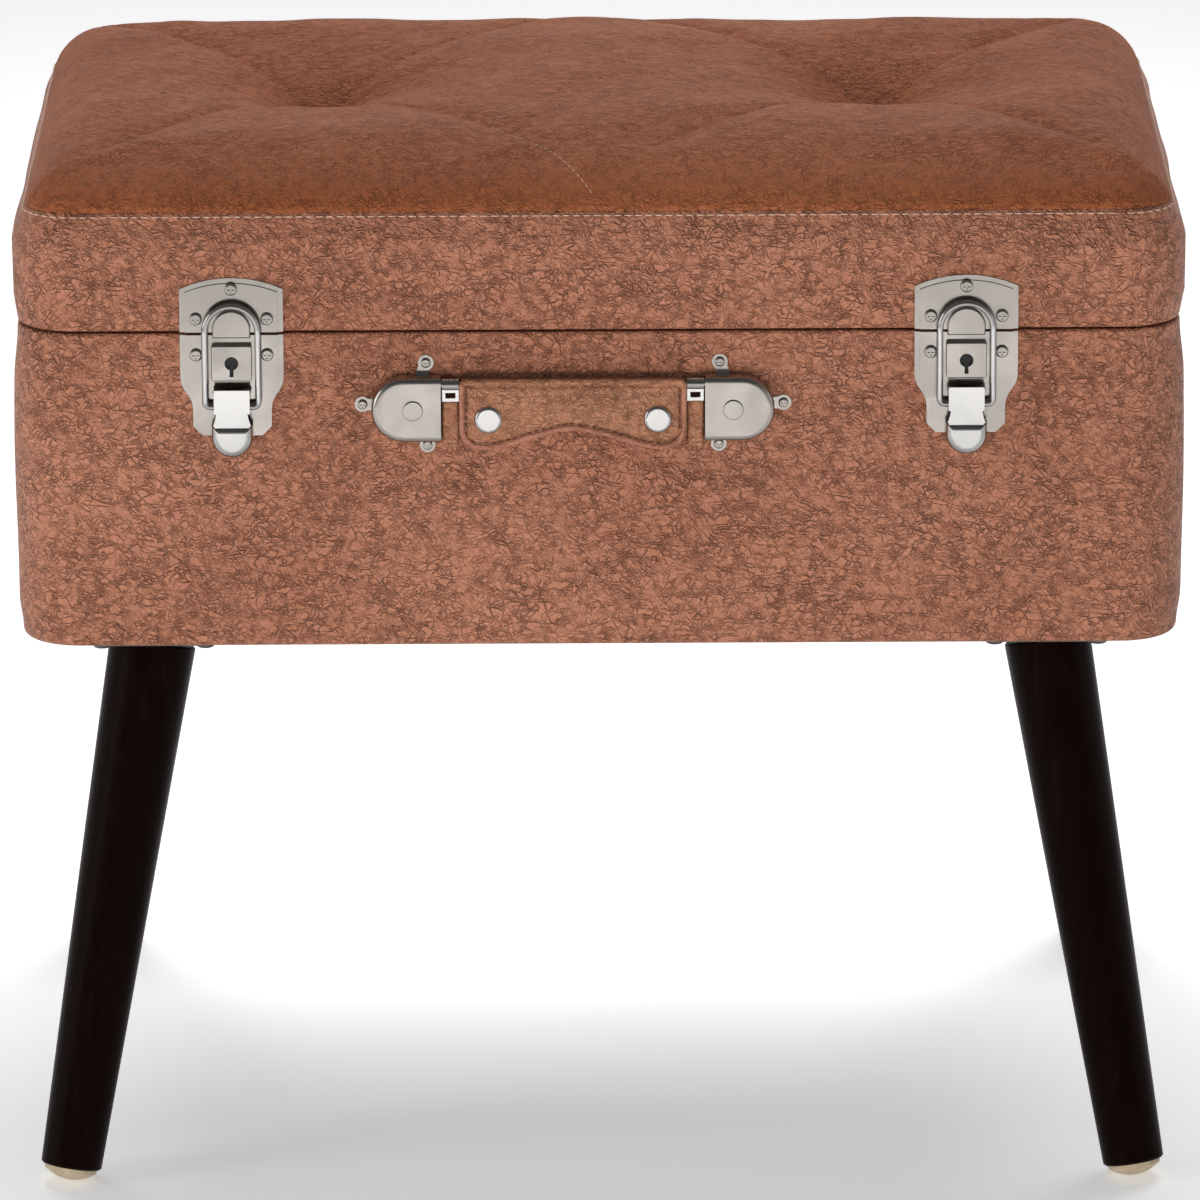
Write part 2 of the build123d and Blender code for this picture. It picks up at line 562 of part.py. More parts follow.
def catch_sketch(centre_x, shrink, standoff):
    """A plate with a straight foot and an arched top."""
    half = PLATE_HALF - shrink
    foot = CATCH_BOTTOM
    shoulder = CATCH_SHOULDER - shrink * 0.6
    with BuildSketch(front(standoff)) as outline:
        with BuildLine():
            Line((centre_x - half, shoulder), (centre_x - half, foot))
            Line((centre_x - half, foot), (centre_x + half, foot))
            Line((centre_x + half, foot), (centre_x + half, shoulder))
            ThreePointArc((centre_x + half, shoulder), (centre_x, CATCH_APEX - shrink), (centre_x - half, shoulder))
        make_face()
    return outline.sketch


def base_sketch(centre_x, shrink, standoff):
    """A plate with a straight top that draws in through an S-curve to a narrow foot."""
    half = PLATE_HALF - shrink
    narrow = PLATE_NARROW_HALF - shrink
    foot = BASE_BOTTOM + shrink
    corner = 4.0
    with BuildSketch(front(standoff)) as outline:
        with BuildLine():
            Line((centre_x - half, BASE_TOP), (centre_x + half, BASE_TOP))
            Line((centre_x - half, BASE_TOP), (centre_x - half, BASE_SHOULDER))
            Line((centre_x + half, BASE_TOP), (centre_x + half, BASE_SHOULDER))
            Bezier((centre_x - half, BASE_SHOULDER), (centre_x - half, BASE_SHOULDER - 9.0),
                   (centre_x - narrow, BASE_NARROW + 9.0), (centre_x - narrow, BASE_NARROW))
            Bezier((centre_x + half, BASE_SHOULDER), (centre_x + half, BASE_SHOULDER - 9.0),
                   (centre_x + narrow, BASE_NARROW + 9.0), (centre_x + narrow, BASE_NARROW))
            Line((centre_x - narrow, BASE_NARROW), (centre_x - narrow, foot + corner))
            Line((centre_x + narrow, BASE_NARROW), (centre_x + narrow, foot + corner))
            Line((centre_x - narrow, foot + corner), (centre_x - narrow + corner, foot))
            Line((centre_x + narrow, foot + corner), (centre_x + narrow - corner, foot))
            Line((centre_x - narrow + corner, foot), (centre_x + narrow - corner, foot))
        make_face()
    return outline.sketch


def make_catch_plate(centre_x):
    """The plate on the lid, with the raised nose that the bail pulls down on."""
    points = [p for p in catch_screw_points if abs(p[0] - centre_x) < PLATE_HALF]
    with BuildPart() as made:
        extrude(catch_sketch(centre_x, 0.0, 0.0), amount=PLATE_EDGE)
        extrude(catch_sketch(centre_x, 2.2, PLATE_EDGE), amount=PLATE_FACE - PLATE_EDGE)
        with BuildSketch(front()):
            with Locations((centre_x, (NOSE_TOP - NOSE_HALF + CATCH_BOTTOM) / 2)):
                Rectangle(2 * NOSE_HALF, NOSE_TOP - NOSE_HALF - CATCH_BOTTOM)
            with Locations((centre_x, NOSE_TOP - NOSE_HALF)):
                Circle(NOSE_HALF)
        extrude(amount=NOSE_RISE)
        with BuildSketch(front(NOSE_RISE)):
            with Locations((centre_x, (CATCH_BOTTOM + 3.0 + NOSE_BOTTOM) / 2)):
                Rectangle(2 * NOSE_HALF, CATCH_BOTTOM + 3.0 - NOSE_BOTTOM)
        extrude(amount=-1.3)
        with BuildSketch(front()):
            with Locations((centre_x, NOSE_BOTTOM - 5.0)):
                Rectangle(2 * PLATE_HALF, 10.0)
        extrude(amount=2 * NOSE_RISE, mode=Mode.SUBTRACT)
        outer_edges = made.faces().sort_by(Axis.Y)[0].edges()
        fillet(outer_edges, 0.7)
        with BuildSketch(front()):
            with Locations((centre_x, CATCH_BOTTOM - 5.0)):
                Rectangle(2 * PLATE_HALF, 10.0)
        extrude(amount=1.9, mode=Mode.SUBTRACT)
        add(pegs(front(), points, LATCH_SCREW_RADIUS + DRILL_ROOM, PLATE_FACE), mode=Mode.SUBTRACT)
    return made


def make_latch_base(centre_x):
    """The plate on the case, with the two ears that carry the lever's pin."""
    points = [p for p in base_screw_points if abs(p[0] - centre_x) < PLATE_HALF]
    ear_outer = 5.7
    ear_thickness = 1.1
    ear_radius = 1.9
    ear_relief = 1.0
    with BuildPart() as made:
        extrude(base_sketch(centre_x, 0.0, 0.0), amount=PLATE_EDGE)
        extrude(base_sketch(centre_x, 2.2, PLATE_EDGE), amount=PLATE_FACE - PLATE_EDGE)
        for start in (-ear_outer, ear_outer - ear_thickness):
            pin_y = -DEPTH / 2 - LEVER_PIVOT_RISE
            with BuildSketch(Plane.YZ.offset(centre_x + start)):
                with Locations((pin_y, LEVER_PIVOT_HEIGHT)):
                    Circle(ear_radius)
                with Locations(((pin_y - DEPTH / 2 - PLATE_EDGE) / 2, LEVER_PIVOT_HEIGHT - ear_relief / 2)):
                    Rectangle(LEVER_PIVOT_RISE - PLATE_EDGE, 2 * ear_radius - ear_relief)
                with Locations((pin_y, LEVER_PIVOT_HEIGHT)):
                    Circle(LEVER_PIN_RADIUS + 0.05, mode=Mode.SUBTRACT)
            extrude(amount=ear_thickness)
        add(pegs(front(), points, LATCH_SCREW_RADIUS + DRILL_ROOM, PLATE_FACE), mode=Mode.SUBTRACT)
    return made


def make_lock_box(centre_x):
    """The small raised box with a round keyhole and its slot."""
    middle = (LOCK_TOP + LOCK_BOTTOM) / 2
    with BuildPart() as made:
        with BuildSketch(front(PLATE_FACE)):
            with Locations((centre_x, middle)):
                RectangleRounded(2 * LOCK_HALF, LOCK_TOP - LOCK_BOTTOM, 1.0)
        extrude(amount=LOCK_RISE - PLATE_FACE)
        fillet(made.faces().sort_by(Axis.Y)[0].edges(), 0.5)
        with BuildSketch(front(LOCK_RISE)):
            with Locations((centre_x, middle)):
                Circle(2.9)
            with Locations((centre_x, middle - 3.6)):
                Rectangle(1.7, 4.4)
        extrude(amount=-2.6, mode=Mode.SUBTRACT)
    return made


def finger_tab(centre_x, rise):
    """The lever's polished domed end, round at its foot."""
    back = 4.2
    side_foot = TAB_BOTTOM + 8.0
    with BuildPart() as tab:
        with BuildSketch(front(back)):
            with BuildLine():
                Line((centre_x - TAB_HALF, side_foot), (centre_x - TAB_HALF, TAB_TOP))
                Line((centre_x - TAB_HALF, TAB_TOP), (centre_x + TAB_HALF, TAB_TOP))
                Line((centre_x + TAB_HALF, TAB_TOP), (centre_x + TAB_HALF, side_foot))
                ThreePointArc((centre_x + TAB_HALF, side_foot), (centre_x, TAB_BOTTOM),
                              (centre_x - TAB_HALF, side_foot))
            make_face()
        extrude(amount=rise - back)
        fillet(tab.faces().sort_by(Axis.Y)[0].edges(), 3.0)
    return tab.part


def make_lever(centre_x):
    """The lever: a waisted plate, two cheeks round its pin and the bail's ends, and a domed finger tab."""
    pin_y = -DEPTH / 2 - LEVER_PIVOT_RISE
    face = LEVER_PIVOT_RISE + LEVER_FACE_OFFSET
    plate = 1.1
    top = LEVER_PIVOT_HEIGHT + 1.8
    with BuildPart() as made:
        with BuildSketch(front(face - plate)):
            with BuildLine():
                Line((centre_x - LEVER_HALF, top), (centre_x + LEVER_HALF, top))
                ThreePointArc((centre_x + LEVER_HALF, top), (centre_x + LEVER_HALF - 1.0, top - 10.0),
                              (centre_x + TAB_HALF - 0.6, TAB_TOP))
                Line((centre_x + TAB_HALF - 0.6, TAB_TOP), (centre_x - TAB_HALF + 0.6, TAB_TOP))
                ThreePointArc((centre_x - LEVER_HALF, top), (centre_x - LEVER_HALF + 1.0, top - 10.0),
                              (centre_x - TAB_HALF + 0.6, TAB_TOP))
            make_face()
            with Locations((centre_x, TAB_TOP - 2.5)):
                Rectangle(2 * TAB_HALF - 2.4, 5.0)
        extrude(amount=plate)
        for start in (-LEVER_HALF, LEVER_HALF - CHEEK):
            with BuildSketch(Plane.YZ.offset(centre_x + start)):
                with Locations((pin_y - 0.4, LEVER_PIVOT_HEIGHT - 3.3)):
                    RectangleRounded(5.4, 10.2, 1.4)
                with Locations((pin_y - 2.5, LEVER_PIVOT_HEIGHT - 3.3)):
                    Rectangle(1.6, 10.2)
            extrude(amount=CHEEK)
        add(finger_tab(centre_x, face + 1.0))
        for height, radius in ((0.0, LEVER_PIN_RADIUS + 0.05), (-BAIL_PIVOT_DROP, WIRE_RADIUS + 0.05)):
            with BuildSketch(Plane.YZ.offset(centre_x - LEVER_HALF)):
                with Locations((pin_y, LEVER_PIVOT_HEIGHT + height)):
                    Circle(radius)
            extrude(amount=2 * LEVER_HALF, mode=Mode.SUBTRACT)
    return made


def make_bail(centre_x):
    """The bent wire: two stubs in the lever's cheeks, two straight sides and a round arch."""
    wire_y = -DEPTH / 2 - LEVER_PIVOT_RISE
    foot = LEVER_PIVOT_HEIGHT - BAIL_PIVOT_DROP
    stub = LEVER_HALF - CHEEK + 0.1
    bend = 2.2
    with BuildPart() as made:
        with BuildLine(Plane.XZ.offset(-wire_y)):
            Line((centre_x - stub, foot), (centre_x - BAIL_HALF + bend, foot))
            RadiusArc((centre_x - BAIL_HALF + bend, foot), (centre_x - BAIL_HALF, foot + bend), bend)
            Line((centre_x - BAIL_HALF, foot + bend), (centre_x - BAIL_HALF, BAIL_ARCH_HEIGHT))
            ThreePointArc((centre_x - BAIL_HALF, BAIL_ARCH_HEIGHT), (centre_x, BAIL_ARCH_HEIGHT + BAIL_HALF),
                          (centre_x + BAIL_HALF, BAIL_ARCH_HEIGHT))
            Line((centre_x + BAIL_HALF, BAIL_ARCH_HEIGHT), (centre_x + BAIL_HALF, foot + bend))
            RadiusArc((centre_x + BAIL_HALF, foot + bend), (centre_x + BAIL_HALF - bend, foot), bend)
            Line((centre_x + BAIL_HALF - bend, foot), (centre_x + stub, foot))
        with BuildSketch(Plane(origin=(centre_x - stub, wire_y, foot), z_dir=(-1, 0, 0))):
            Circle(WIRE_RADIUS)
        sweep()
    return made


for side, name in zip(SIGNS, ("left", "right")):
    latch_x = side * LATCH_X
    catch_plate = make_catch_plate(latch_x)
    save(catch_plate, f"catch_plate_{name}")
    latch_base = make_latch_base(latch_x)
    save(latch_base, f"latch_base_{name}")
    lever = make_lever(latch_x)
    save(lever, f"latch_lever_{name}")
    bail = make_bail(latch_x)
    save(bail, f"latch_bail_{name}")

with BuildPart() as lock_boxes:
    for side in SIGNS:
        add(make_lock_box(side * LATCH_X).part)
save(lock_boxes, "lock_boxes")

with BuildPart() as lever_pins:
    for side in SIGNS:
        pin_start = Plane.YZ.offset(side * LATCH_X - 8.0)
        add(pegs(pin_start, [(-DEPTH / 2 - LEVER_PIVOT_RISE, LEVER_PIVOT_HEIGHT)], LEVER_PIN_RADIUS, 16.0))
save(lever_pins, "lever_pins")

latch_seat = front(PLATE_FACE)
catch_screws = cross_head_screws(latch_seat, catch_screw_points, 2.7, 1.5, LATCH_SCREW_RADIUS, LATCH_SCREW_LENGTH)
save(catch_screws, "catch_screws")
latch_base_screws = cross_head_screws(latch_seat, base_screw_points, 2.7, 1.5, LATCH_SCREW_RADIUS,
                                      LATCH_SCREW_LENGTH)
save(latch_base_screws, "latch_base_screws")

# ---------------------------------------------------------------- handle

GRIP_HALF = 47.7
GRIP_TOP = HANDLE_PIVOT_HEIGHT + 2.8
GRIP_LOBE = HANDLE_PIVOT_HEIGHT - 27.8
GRIP_WAIST = HANDLE_PIVOT_HEIGHT - 19.6
GRIP_CORNER = 8.0
LOBE_X = 36.0
GRIP_BACK_RISE = 5.2
GRIP_STIFFENER_RISE = 7.4
GRIP_FRONT_RISE = 8.2
GRIP_RISE = 11.2
PIVOT_RISE = 6.0
PIVOT_RADIUS = 1.5
GRIP_RIVET_X = 35.5
GRIP_RIVET_HEIGHT = HANDLE_PIVOT_HEIGHT - 14.0
PIVOT_Y = -DEPTH / 2 - PIVOT_RISE
grip_rivet_points = [(HANDLE_X + side * GRIP_RIVET_X, GRIP_RIVET_HEIGHT) for side in SIGNS]
cap_rivet_points = [(HANDLE_X + side * CAP_RIVET_X, CAP_MIDDLE_HEIGHT) for side in SIGNS]


def grip_outline(shrink, standoff):
    """The grip's face: a straight top and two round lobes with a shallow rise between them."""
    half = GRIP_HALF - shrink
    top = GRIP_TOP - shrink
    lobe = GRIP_LOBE + shrink
    waist = GRIP_WAIST + shrink
    corner = GRIP_CORNER
    with BuildSketch(front(standoff)) as outline:
        with BuildLine():
            Line((HANDLE_X - half, top), (HANDLE_X + half, top))
            for s in SIGNS:
                Line((HANDLE_X + s * half, top), (HANDLE_X + s * half, lobe + corner))
                Bezier((HANDLE_X + s * half, lobe + corner), (HANDLE_X + s * half, lobe),
                       (HANDLE_X + s * (LOBE_X + 3.0), lobe - 0.6), (HANDLE_X + s * (LOBE_X - 6.0), lobe + 1.4))
                Bezier((HANDLE_X + s * (LOBE_X - 6.0), lobe + 1.4), (HANDLE_X + s * (LOBE_X - 19.5), lobe + 4.4),
                       (HANDLE_X + s * 8.0, waist), (HANDLE_X, waist))
        make_face()
    return outline.sketch


def grip_layer(start, end, shrink):
    """One layer of the grip between two rises off the front face, with its rivet holes."""
    with BuildPart() as made:
        extrude(grip_outline(shrink, start), amount=end - start)
        add(pegs(front(start), grip_rivet_points, 1.6, end - start), mode=Mode.SUBTRACT)
    return made


handle_grip_back = grip_layer(GRIP_BACK_RISE, GRIP_STIFFENER_RISE, 0.0)
save(handle_grip_back, "handle_grip_back")
handle_stiffener = grip_layer(GRIP_STIFFENER_RISE, GRIP_FRONT_RISE, 3.0)
save(handle_stiffener, "handle_stiffener")
handle_grip_front = grip_layer(GRIP_FRONT_RISE, GRIP_RISE, 0.0)
save(handle_grip_front, "handle_grip_front")

with BuildPart() as handle_rivets:
    add(pegs(front(GRIP_RISE), grip_rivet_points, 5.8, 1.6))
    fillet(handle_rivets.edges().group_by(Axis.Y)[0], 1.3)
    add(pegs(front(GRIP_RISE), grip_rivet_points, 1.5, GRIP_BACK_RISE - GRIP_RISE))
    add(pegs(front(GRIP_BACK_RISE), grip_rivet_points, 4.0, -0.8))
save(handle_rivets, "handle_rivets")

LOOP_INNER = GRIP_HALF + 0.2
LOOP_WIDTH = CAP_INNER - 0.6 - LOOP_INNER
LOOP_CENTRE = LOOP_INNER + LOOP_WIDTH / 2
STRAP_TOP = HANDLE_PIVOT_HEIGHT - 7.2
STRAP_BOTTOM = HANDLE_PIVOT_HEIGHT - 27.0
LOOP_TOP = HANDLE_PIVOT_HEIGHT + 2.3

with BuildPart() as handle_loops:
    for side in SIGNS:
        with BuildSketch(front(PIVOT_RISE - 1.1)):
            with Locations((HANDLE_X + side * LOOP_CENTRE, (LOOP_TOP + STRAP_TOP) / 2)):
                Rectangle(LOOP_WIDTH, LOOP_TOP - STRAP_TOP)
        extrude(amount=2.2)
        with BuildSketch(Plane.YZ.offset(HANDLE_X + side * LOOP_CENTRE - LOOP_WIDTH / 2)):
            with Locations((PIVOT_Y, HANDLE_PIVOT_HEIGHT)):
                Circle(2.5)
        extrude(amount=LOOP_WIDTH)
        with BuildSketch(front(0)):
            with Locations((HANDLE_X + side * LOOP_CENTRE, STRAP_TOP + 2.6)):
                Rectangle(LOOP_WIDTH - 2.6, 2.4)
        extrude(amount=12.0, mode=Mode.SUBTRACT)
        with BuildSketch(Plane.YZ.offset(HANDLE_X + side * LOOP_CENTRE - LOOP_WIDTH / 2)):
            with Locations((PIVOT_Y, HANDLE_PIVOT_HEIGHT)):
                Circle(PIVOT_RADIUS + 0.05)
        extrude(amount=LOOP_WIDTH, mode=Mode.SUBTRACT)
save(handle_loops, "handle_loops")

with BuildPart() as handle_straps:
    for side in SIGNS:
        with BuildSketch(front(PIVOT_RISE - 1.1)):
            with Locations((HANDLE_X + side * (LOOP_CENTRE - 0.1), (STRAP_TOP + STRAP_BOTTOM) / 2)):
                Rectangle(LOOP_WIDTH + 0.2, STRAP_TOP - STRAP_BOTTOM)
        extrude(amount=2.2)
save(handle_straps, "handle_straps")

with BuildPart() as handle_pivots:
    for side in SIGNS:
        rod_start = HANDLE_X + side * (GRIP_HALF + 0.3)
        with BuildSketch(Plane.YZ.offset(rod_start)):
            with Locations((PIVOT_Y, HANDLE_PIVOT_HEIGHT)):
                Circle(PIVOT_RADIUS)
        extrude(amount=side * 24.0)
        with BuildSketch(front()):
            with Locations((HANDLE_X + side * 66.0, CAP_MIDDLE_HEIGHT + 2.0)):
                Rectangle(14.0, 18.0)
        extrude(amount=CAP_RISE - CAP_WALL)
save(handle_pivots, "handle_pivots")


def cap_outline(side, shrink):
    """A D: straight towards the grip, round away from it."""
    radius = CAP_RADIUS - shrink
    centre = HANDLE_X + side * (CAP_OUTER - CAP_RADIUS)
    straight = HANDLE_X + side * CAP_INNER
    with BuildSketch(front()) as outline:
        with BuildLine():
            Line((straight, CAP_MIDDLE_HEIGHT - radius), (straight, CAP_MIDDLE_HEIGHT + radius))
            Line((straight, CAP_MIDDLE_HEIGHT + radius), (centre, CAP_MIDDLE_HEIGHT + radius))
            ThreePointArc((centre, CAP_MIDDLE_HEIGHT + radius), (centre + side * radius, CAP_MIDDLE_HEIGHT),
                          (centre, CAP_MIDDLE_HEIGHT - radius))
            Line((centre, CAP_MIDDLE_HEIGHT - radius), (straight, CAP_MIDDLE_HEIGHT - radius))
        make_face()
    return outline.sketch


def make_cap(side):
    """A pressed cap, open towards the grip, with three screw tabs."""
    points = [p for p in cap_screw_points if (p[0] - HANDLE_X) * side > 0]
    middle = (HANDLE_X + side * 68.0, CAP_MIDDLE_HEIGHT)
    with BuildPart() as made:
        extrude(cap_outline(side, 0.0), amount=CAP_RISE)
        rim = made.faces().sort_by(Axis.Y)[0].edges().filter_by(
            lambda e: abs(e.center().X - (HANDLE_X + side * CAP_INNER)) > 0.5)
        fillet(rim, 2.4)
        for x, z in points:
            length = math.dist((x, z), middle)
            angle = math.degrees(math.atan2(z - middle[1], x - middle[0]))
            with BuildSketch(front()):
                with Locations(Location((x, z), 0)):
                    Circle(3.3)
                with Locations(Location(((x + middle[0]) / 2, (z + middle[1]) / 2), angle)):
                    Rectangle(length, 5.0)
            extrude(amount=0.8)
        extrude(cap_outline(side, CAP_WALL), amount=CAP_RISE - CAP_WALL, mode=Mode.SUBTRACT)
        add(pegs(front(), points, CAP_SCREW_RADIUS + DRILL_ROOM, 0.8), mode=Mode.SUBTRACT)
        add(pegs(front(), [(HANDLE_X + side * CAP_RIVET_X, CAP_MIDDLE_HEIGHT)], 1.6, CAP_RISE),
            mode=Mode.SUBTRACT)
    return made


handle_cap_left = make_cap(-1)
save(handle_cap_left, "handle_cap_left")
handle_cap_right = make_cap(1)
save(handle_cap_right, "handle_cap_right")

with BuildPart() as handle_cap_rivets:
    add(pegs(front(CAP_RISE), cap_rivet_points, 4.3, 0.7))
    fillet(handle_cap_rivets.edges().group_by(Axis.Y)[0], 0.5)
    add(pegs(front(CAP_RISE), cap_rivet_points, 1.5, -CAP_WALL))
save(handle_cap_rivets, "handle_cap_rivets")

cap_screws = cross_head_screws(front(0.8), cap_screw_points, 2.1, 1.3, CAP_SCREW_RADIUS, CAP_SCREW_LENGTH)
save(cap_screws, "handle_cap_screws")
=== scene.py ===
import json
import math

import bpy
import numpy as np
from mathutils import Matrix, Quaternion, Vector
from mathutils.bvhtree import BVHTree


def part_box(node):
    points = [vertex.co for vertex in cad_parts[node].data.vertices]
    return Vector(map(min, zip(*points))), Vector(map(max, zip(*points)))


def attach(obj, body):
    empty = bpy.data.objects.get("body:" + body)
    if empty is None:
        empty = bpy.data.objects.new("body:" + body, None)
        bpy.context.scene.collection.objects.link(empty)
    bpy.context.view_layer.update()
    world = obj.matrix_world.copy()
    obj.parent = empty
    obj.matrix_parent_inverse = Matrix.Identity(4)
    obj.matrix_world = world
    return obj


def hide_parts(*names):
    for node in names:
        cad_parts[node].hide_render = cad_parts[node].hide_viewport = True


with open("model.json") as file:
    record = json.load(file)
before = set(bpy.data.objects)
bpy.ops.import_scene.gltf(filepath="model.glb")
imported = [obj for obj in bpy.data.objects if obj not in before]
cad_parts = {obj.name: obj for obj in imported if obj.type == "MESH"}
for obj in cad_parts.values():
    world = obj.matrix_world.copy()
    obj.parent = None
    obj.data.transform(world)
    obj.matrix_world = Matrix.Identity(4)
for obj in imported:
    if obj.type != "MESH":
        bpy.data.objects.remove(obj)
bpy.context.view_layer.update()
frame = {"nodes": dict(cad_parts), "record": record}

# ------------------------------------------------------------------ sizes, in metres, from the frame
MM = 0.001
CASE_LOW, CASE_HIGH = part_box("case_cover")
LID_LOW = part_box("lid_cover")[0]
SEAT_LOW, SEAT_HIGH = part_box("seat_cover")
HALF_X = CASE_HIGH.x
HALF_Y = CASE_HIGH.y
CORNER = 25 * MM
SEAT_INSET = HALF_X - SEAT_HIGH.x
SEAM_Z = SEAT_LOW.z
CROWN_Z = SEAT_HIGH.z
BUTTON_LOW, BUTTON_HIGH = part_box("tuft_buttons")
BUTTON_RADIUS = 11.5 * MM
TUFTS = [(BUTTON_LOW.x + BUTTON_RADIUS, 0.0), (BUTTON_HIGH.x - BUTTON_RADIUS, 0.0)]
LATCH_X = 154 * MM
HINGE_X, HINGE_Z = 150 * MM, 371 * MM


# ------------------------------------------------------------------ mesh helpers
def mesh_object(name, verts, faces, smooth=True):
    mesh = bpy.data.meshes.new(name)
    mesh.from_pydata([tuple(v) for v in verts], [], [tuple(f) for f in faces])
    mesh.validate()
    if smooth:
        mesh.shade_smooth()
    obj = bpy.data.objects.new(name, mesh)
    bpy.context.scene.collection.objects.link(obj)
    return obj


def finish_piece(obj, body, material, replaces=()):
    obj.data.materials.clear()
    obj.data.materials.append(material)
    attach(obj, body)
    if replaces:
        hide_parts(*replaces)


def grid_faces(columns, rows):
    return [(i * rows + j, (i + 1) * rows + j, (i + 1) * rows + j + 1, i * rows + j + 1)
            for i in range(columns - 1) for j in range(rows - 1)]


def grid_rim(columns, rows):
    """The grid's outer vertices in order, all the way round."""
    return [i * rows for i in range(columns)] + [(columns - 1) * rows + j for j in range(1, rows)] \
        + [i * rows + rows - 1 for i in range(columns - 2, -1, -1)] + list(range(rows - 2, 0, -1))


def rounded_outline(half_x, half_y, radius, step=4 * MM, corner_steps=14):
    """Points and outward normals round a rounded rectangle, anticlockwise from the front's left end."""
    points, normals = [], []
    centres = [(half_x - radius, -half_y + radius, -90), (half_x - radius, half_y - radius, 0),
               (-half_x + radius, half_y - radius, 90), (-half_x + radius, -half_y + radius, 180)]
    for i, (cx, cy, start) in enumerate(centres):
        for k in range(corner_steps + 1):
            a = math.radians(start + 90 * k / corner_steps)
            points.append((cx + radius * math.cos(a), cy + radius * math.sin(a)))
            normals.append((math.cos(a), math.sin(a)))
        nx, ny, _ = centres[(i + 1) % 4]
        a = math.radians(start + 90)
        x0, y0 = points[-1]
        x1, y1 = nx + radius * math.cos(a), ny + radius * math.sin(a)
        count = max(2, int(math.hypot(x1 - x0, y1 - y0) / step))
        for k in range(1, count):
            points.append((x0 + (x1 - x0) * k / count, y0 + (y1 - y0) * k / count))
            normals.append((math.cos(a), math.sin(a)))
    return np.array(points), np.array(normals)


def sweep_round(name, profile, shift=None):
    """A closed profile of (outward offset, height, softness) carried round the box.

    shift(points, normals, z) says how far a point with softness 1 moves out."""
    points, normals = rounded_outline(HALF_X, HALF_Y, CORNER)
    n, m = len(points), len(profile)
    verts = np.zeros((n, m, 3))
    for j, (out, z, soft) in enumerate(profile):
        offset = np.full(n, out)
        if shift is not None and soft > 0:
            offset = offset + soft * shift(points, normals, z)
        verts[:, j, :2] = points + normals * offset[:, None]
        verts[:, j, 2] = z
    faces = []
    for i in range(n):
        for j in range(m):
            a, b = i * m + j, i * m + (j + 1) % m
            c, d = ((i + 1) % n) * m + (j + 1) % m, ((i + 1) % n) * m + j
            faces.append((a, d, c, b))
    return mesh_object(name, verts.reshape(-1, 3), faces)


def smoothstep(x):
    x = np.clip(x, 0, 1)
    return x * x * (3 - 2 * x)


def wave(x, y, seed, period):
    """Smooth seeded unevenness between -1 and 1."""
    rng = np.random.default_rng(seed)
    total = 0
    for _ in range(5):
        angle = rng.uniform(0, 2 * math.pi)
        size = period * rng.uniform(0.7, 1.5)
        total = total + np.sin((x * math.cos(angle) + y * math.sin(angle)) * 2 * math.pi / size
                               + rng.uniform(0, 2 * math.pi))
    return total / 3.2


# ------------------------------------------------------------------ materials
def new_material(name):
    material = bpy.data.materials.new(name)
    material.use_nodes = True
    nodes, links = material.node_tree.nodes, material.node_tree.links
    shader = nodes["Principled BSDF"]
    coords = nodes.new("ShaderNodeTexCoord").outputs["Object"]
    return material, nodes, links, shader, coords


def noise(nodes, links, coords, scale, detail=4.0, roughness=0.55, distortion=0.0, kind="FBM", stretch=None):
    if stretch is not None:
        mapping = nodes.new("ShaderNodeMapping")
        mapping.inputs["Scale"].default_value = stretch
        links.new(coords, mapping.inputs["Vector"])
        coords = mapping.outputs["Vector"]
    tex = nodes.new("ShaderNodeTexNoise")
    tex.noise_type = kind
    tex.inputs["Scale"].default_value = scale
    tex.inputs["Detail"].default_value = detail
    tex.inputs["Roughness"].default_value = roughness
    tex.inputs["Distortion"].default_value = distortion
    links.new(coords, tex.inputs["Vector"])
    return tex.outputs["Fac"]


def ramp(nodes, links, value, stops):
    node = nodes.new("ShaderNodeValToRGB")
    elements = node.color_ramp.elements
    while len(elements) < len(stops):
        elements.new(0.5)
    for element, (position, colour) in zip(elements, stops):
        element.position = position
        element.color = (*colour, 1) if len(colour) == 3 else colour
    links.new(value, node.inputs["Fac"])
    return node.outputs["Color"]


def math_node(nodes, links, operation, a, b):
    node = nodes.new("ShaderNodeMath")
    node.operation = operation
    for socket, value in ((node.inputs[0], a), (node.inputs[1], b)):
        if isinstance(value, (int, float)):
            socket.default_value = value
        else:
            links.new(value, socket)
    return node.outputs[0]


def bump(nodes, links, shader, height, strength, distance):
    node = nodes.new("ShaderNodeBump")
    node.inputs["Strength"].default_value = strength
    node.inputs["Distance"].default_value = distance
    links.new(height, node.inputs["Height"])
    links.new(node.outputs["Normal"], shader.inputs["Normal"])


def mix_colour(nodes, links, kind, factor, a, b):
    node = nodes.new("ShaderNodeMix")
    node.data_type = "RGBA"
    node.blend_type = kind
    if isinstance(factor, (int, float)):
        node.inputs[0].default_value = factor
    else:
        links.new(factor, node.inputs[0])
    for socket, value in ((node.inputs[6], a), (node.inputs[7], b)):
        if isinstance(value, tuple):
            socket.default_value = (*value, 1)
        else:
            links.new(value, socket)
    return node.outputs[2]


def turned(nodes, links, coords, turn, stretch):
    """Coordinates turned first and stretched second, so a pattern can run at any slant."""
    for kind, value in (("Rotation", turn), ("Scale", stretch)):
        mapping = nodes.new("ShaderNodeMapping")
        mapping.inputs[kind].default_value = value
        links.new(coords, mapping.inputs["Vector"])
        coords = mapping.outputs["Vector"]
    return coords


def valleys(nodes, links, value, width):
    """Thin dark lines where a noise crosses its middle."""
    away = math_node(nodes, links, "ABSOLUTE", math_node(nodes, links, "SUBTRACT", value, 0.5), 0)
    return ramp(nodes, links, away, [(0.0, (0, 0, 0)), (width * 0.4, (0.55,) * 3), (width, (1, 1, 1))])


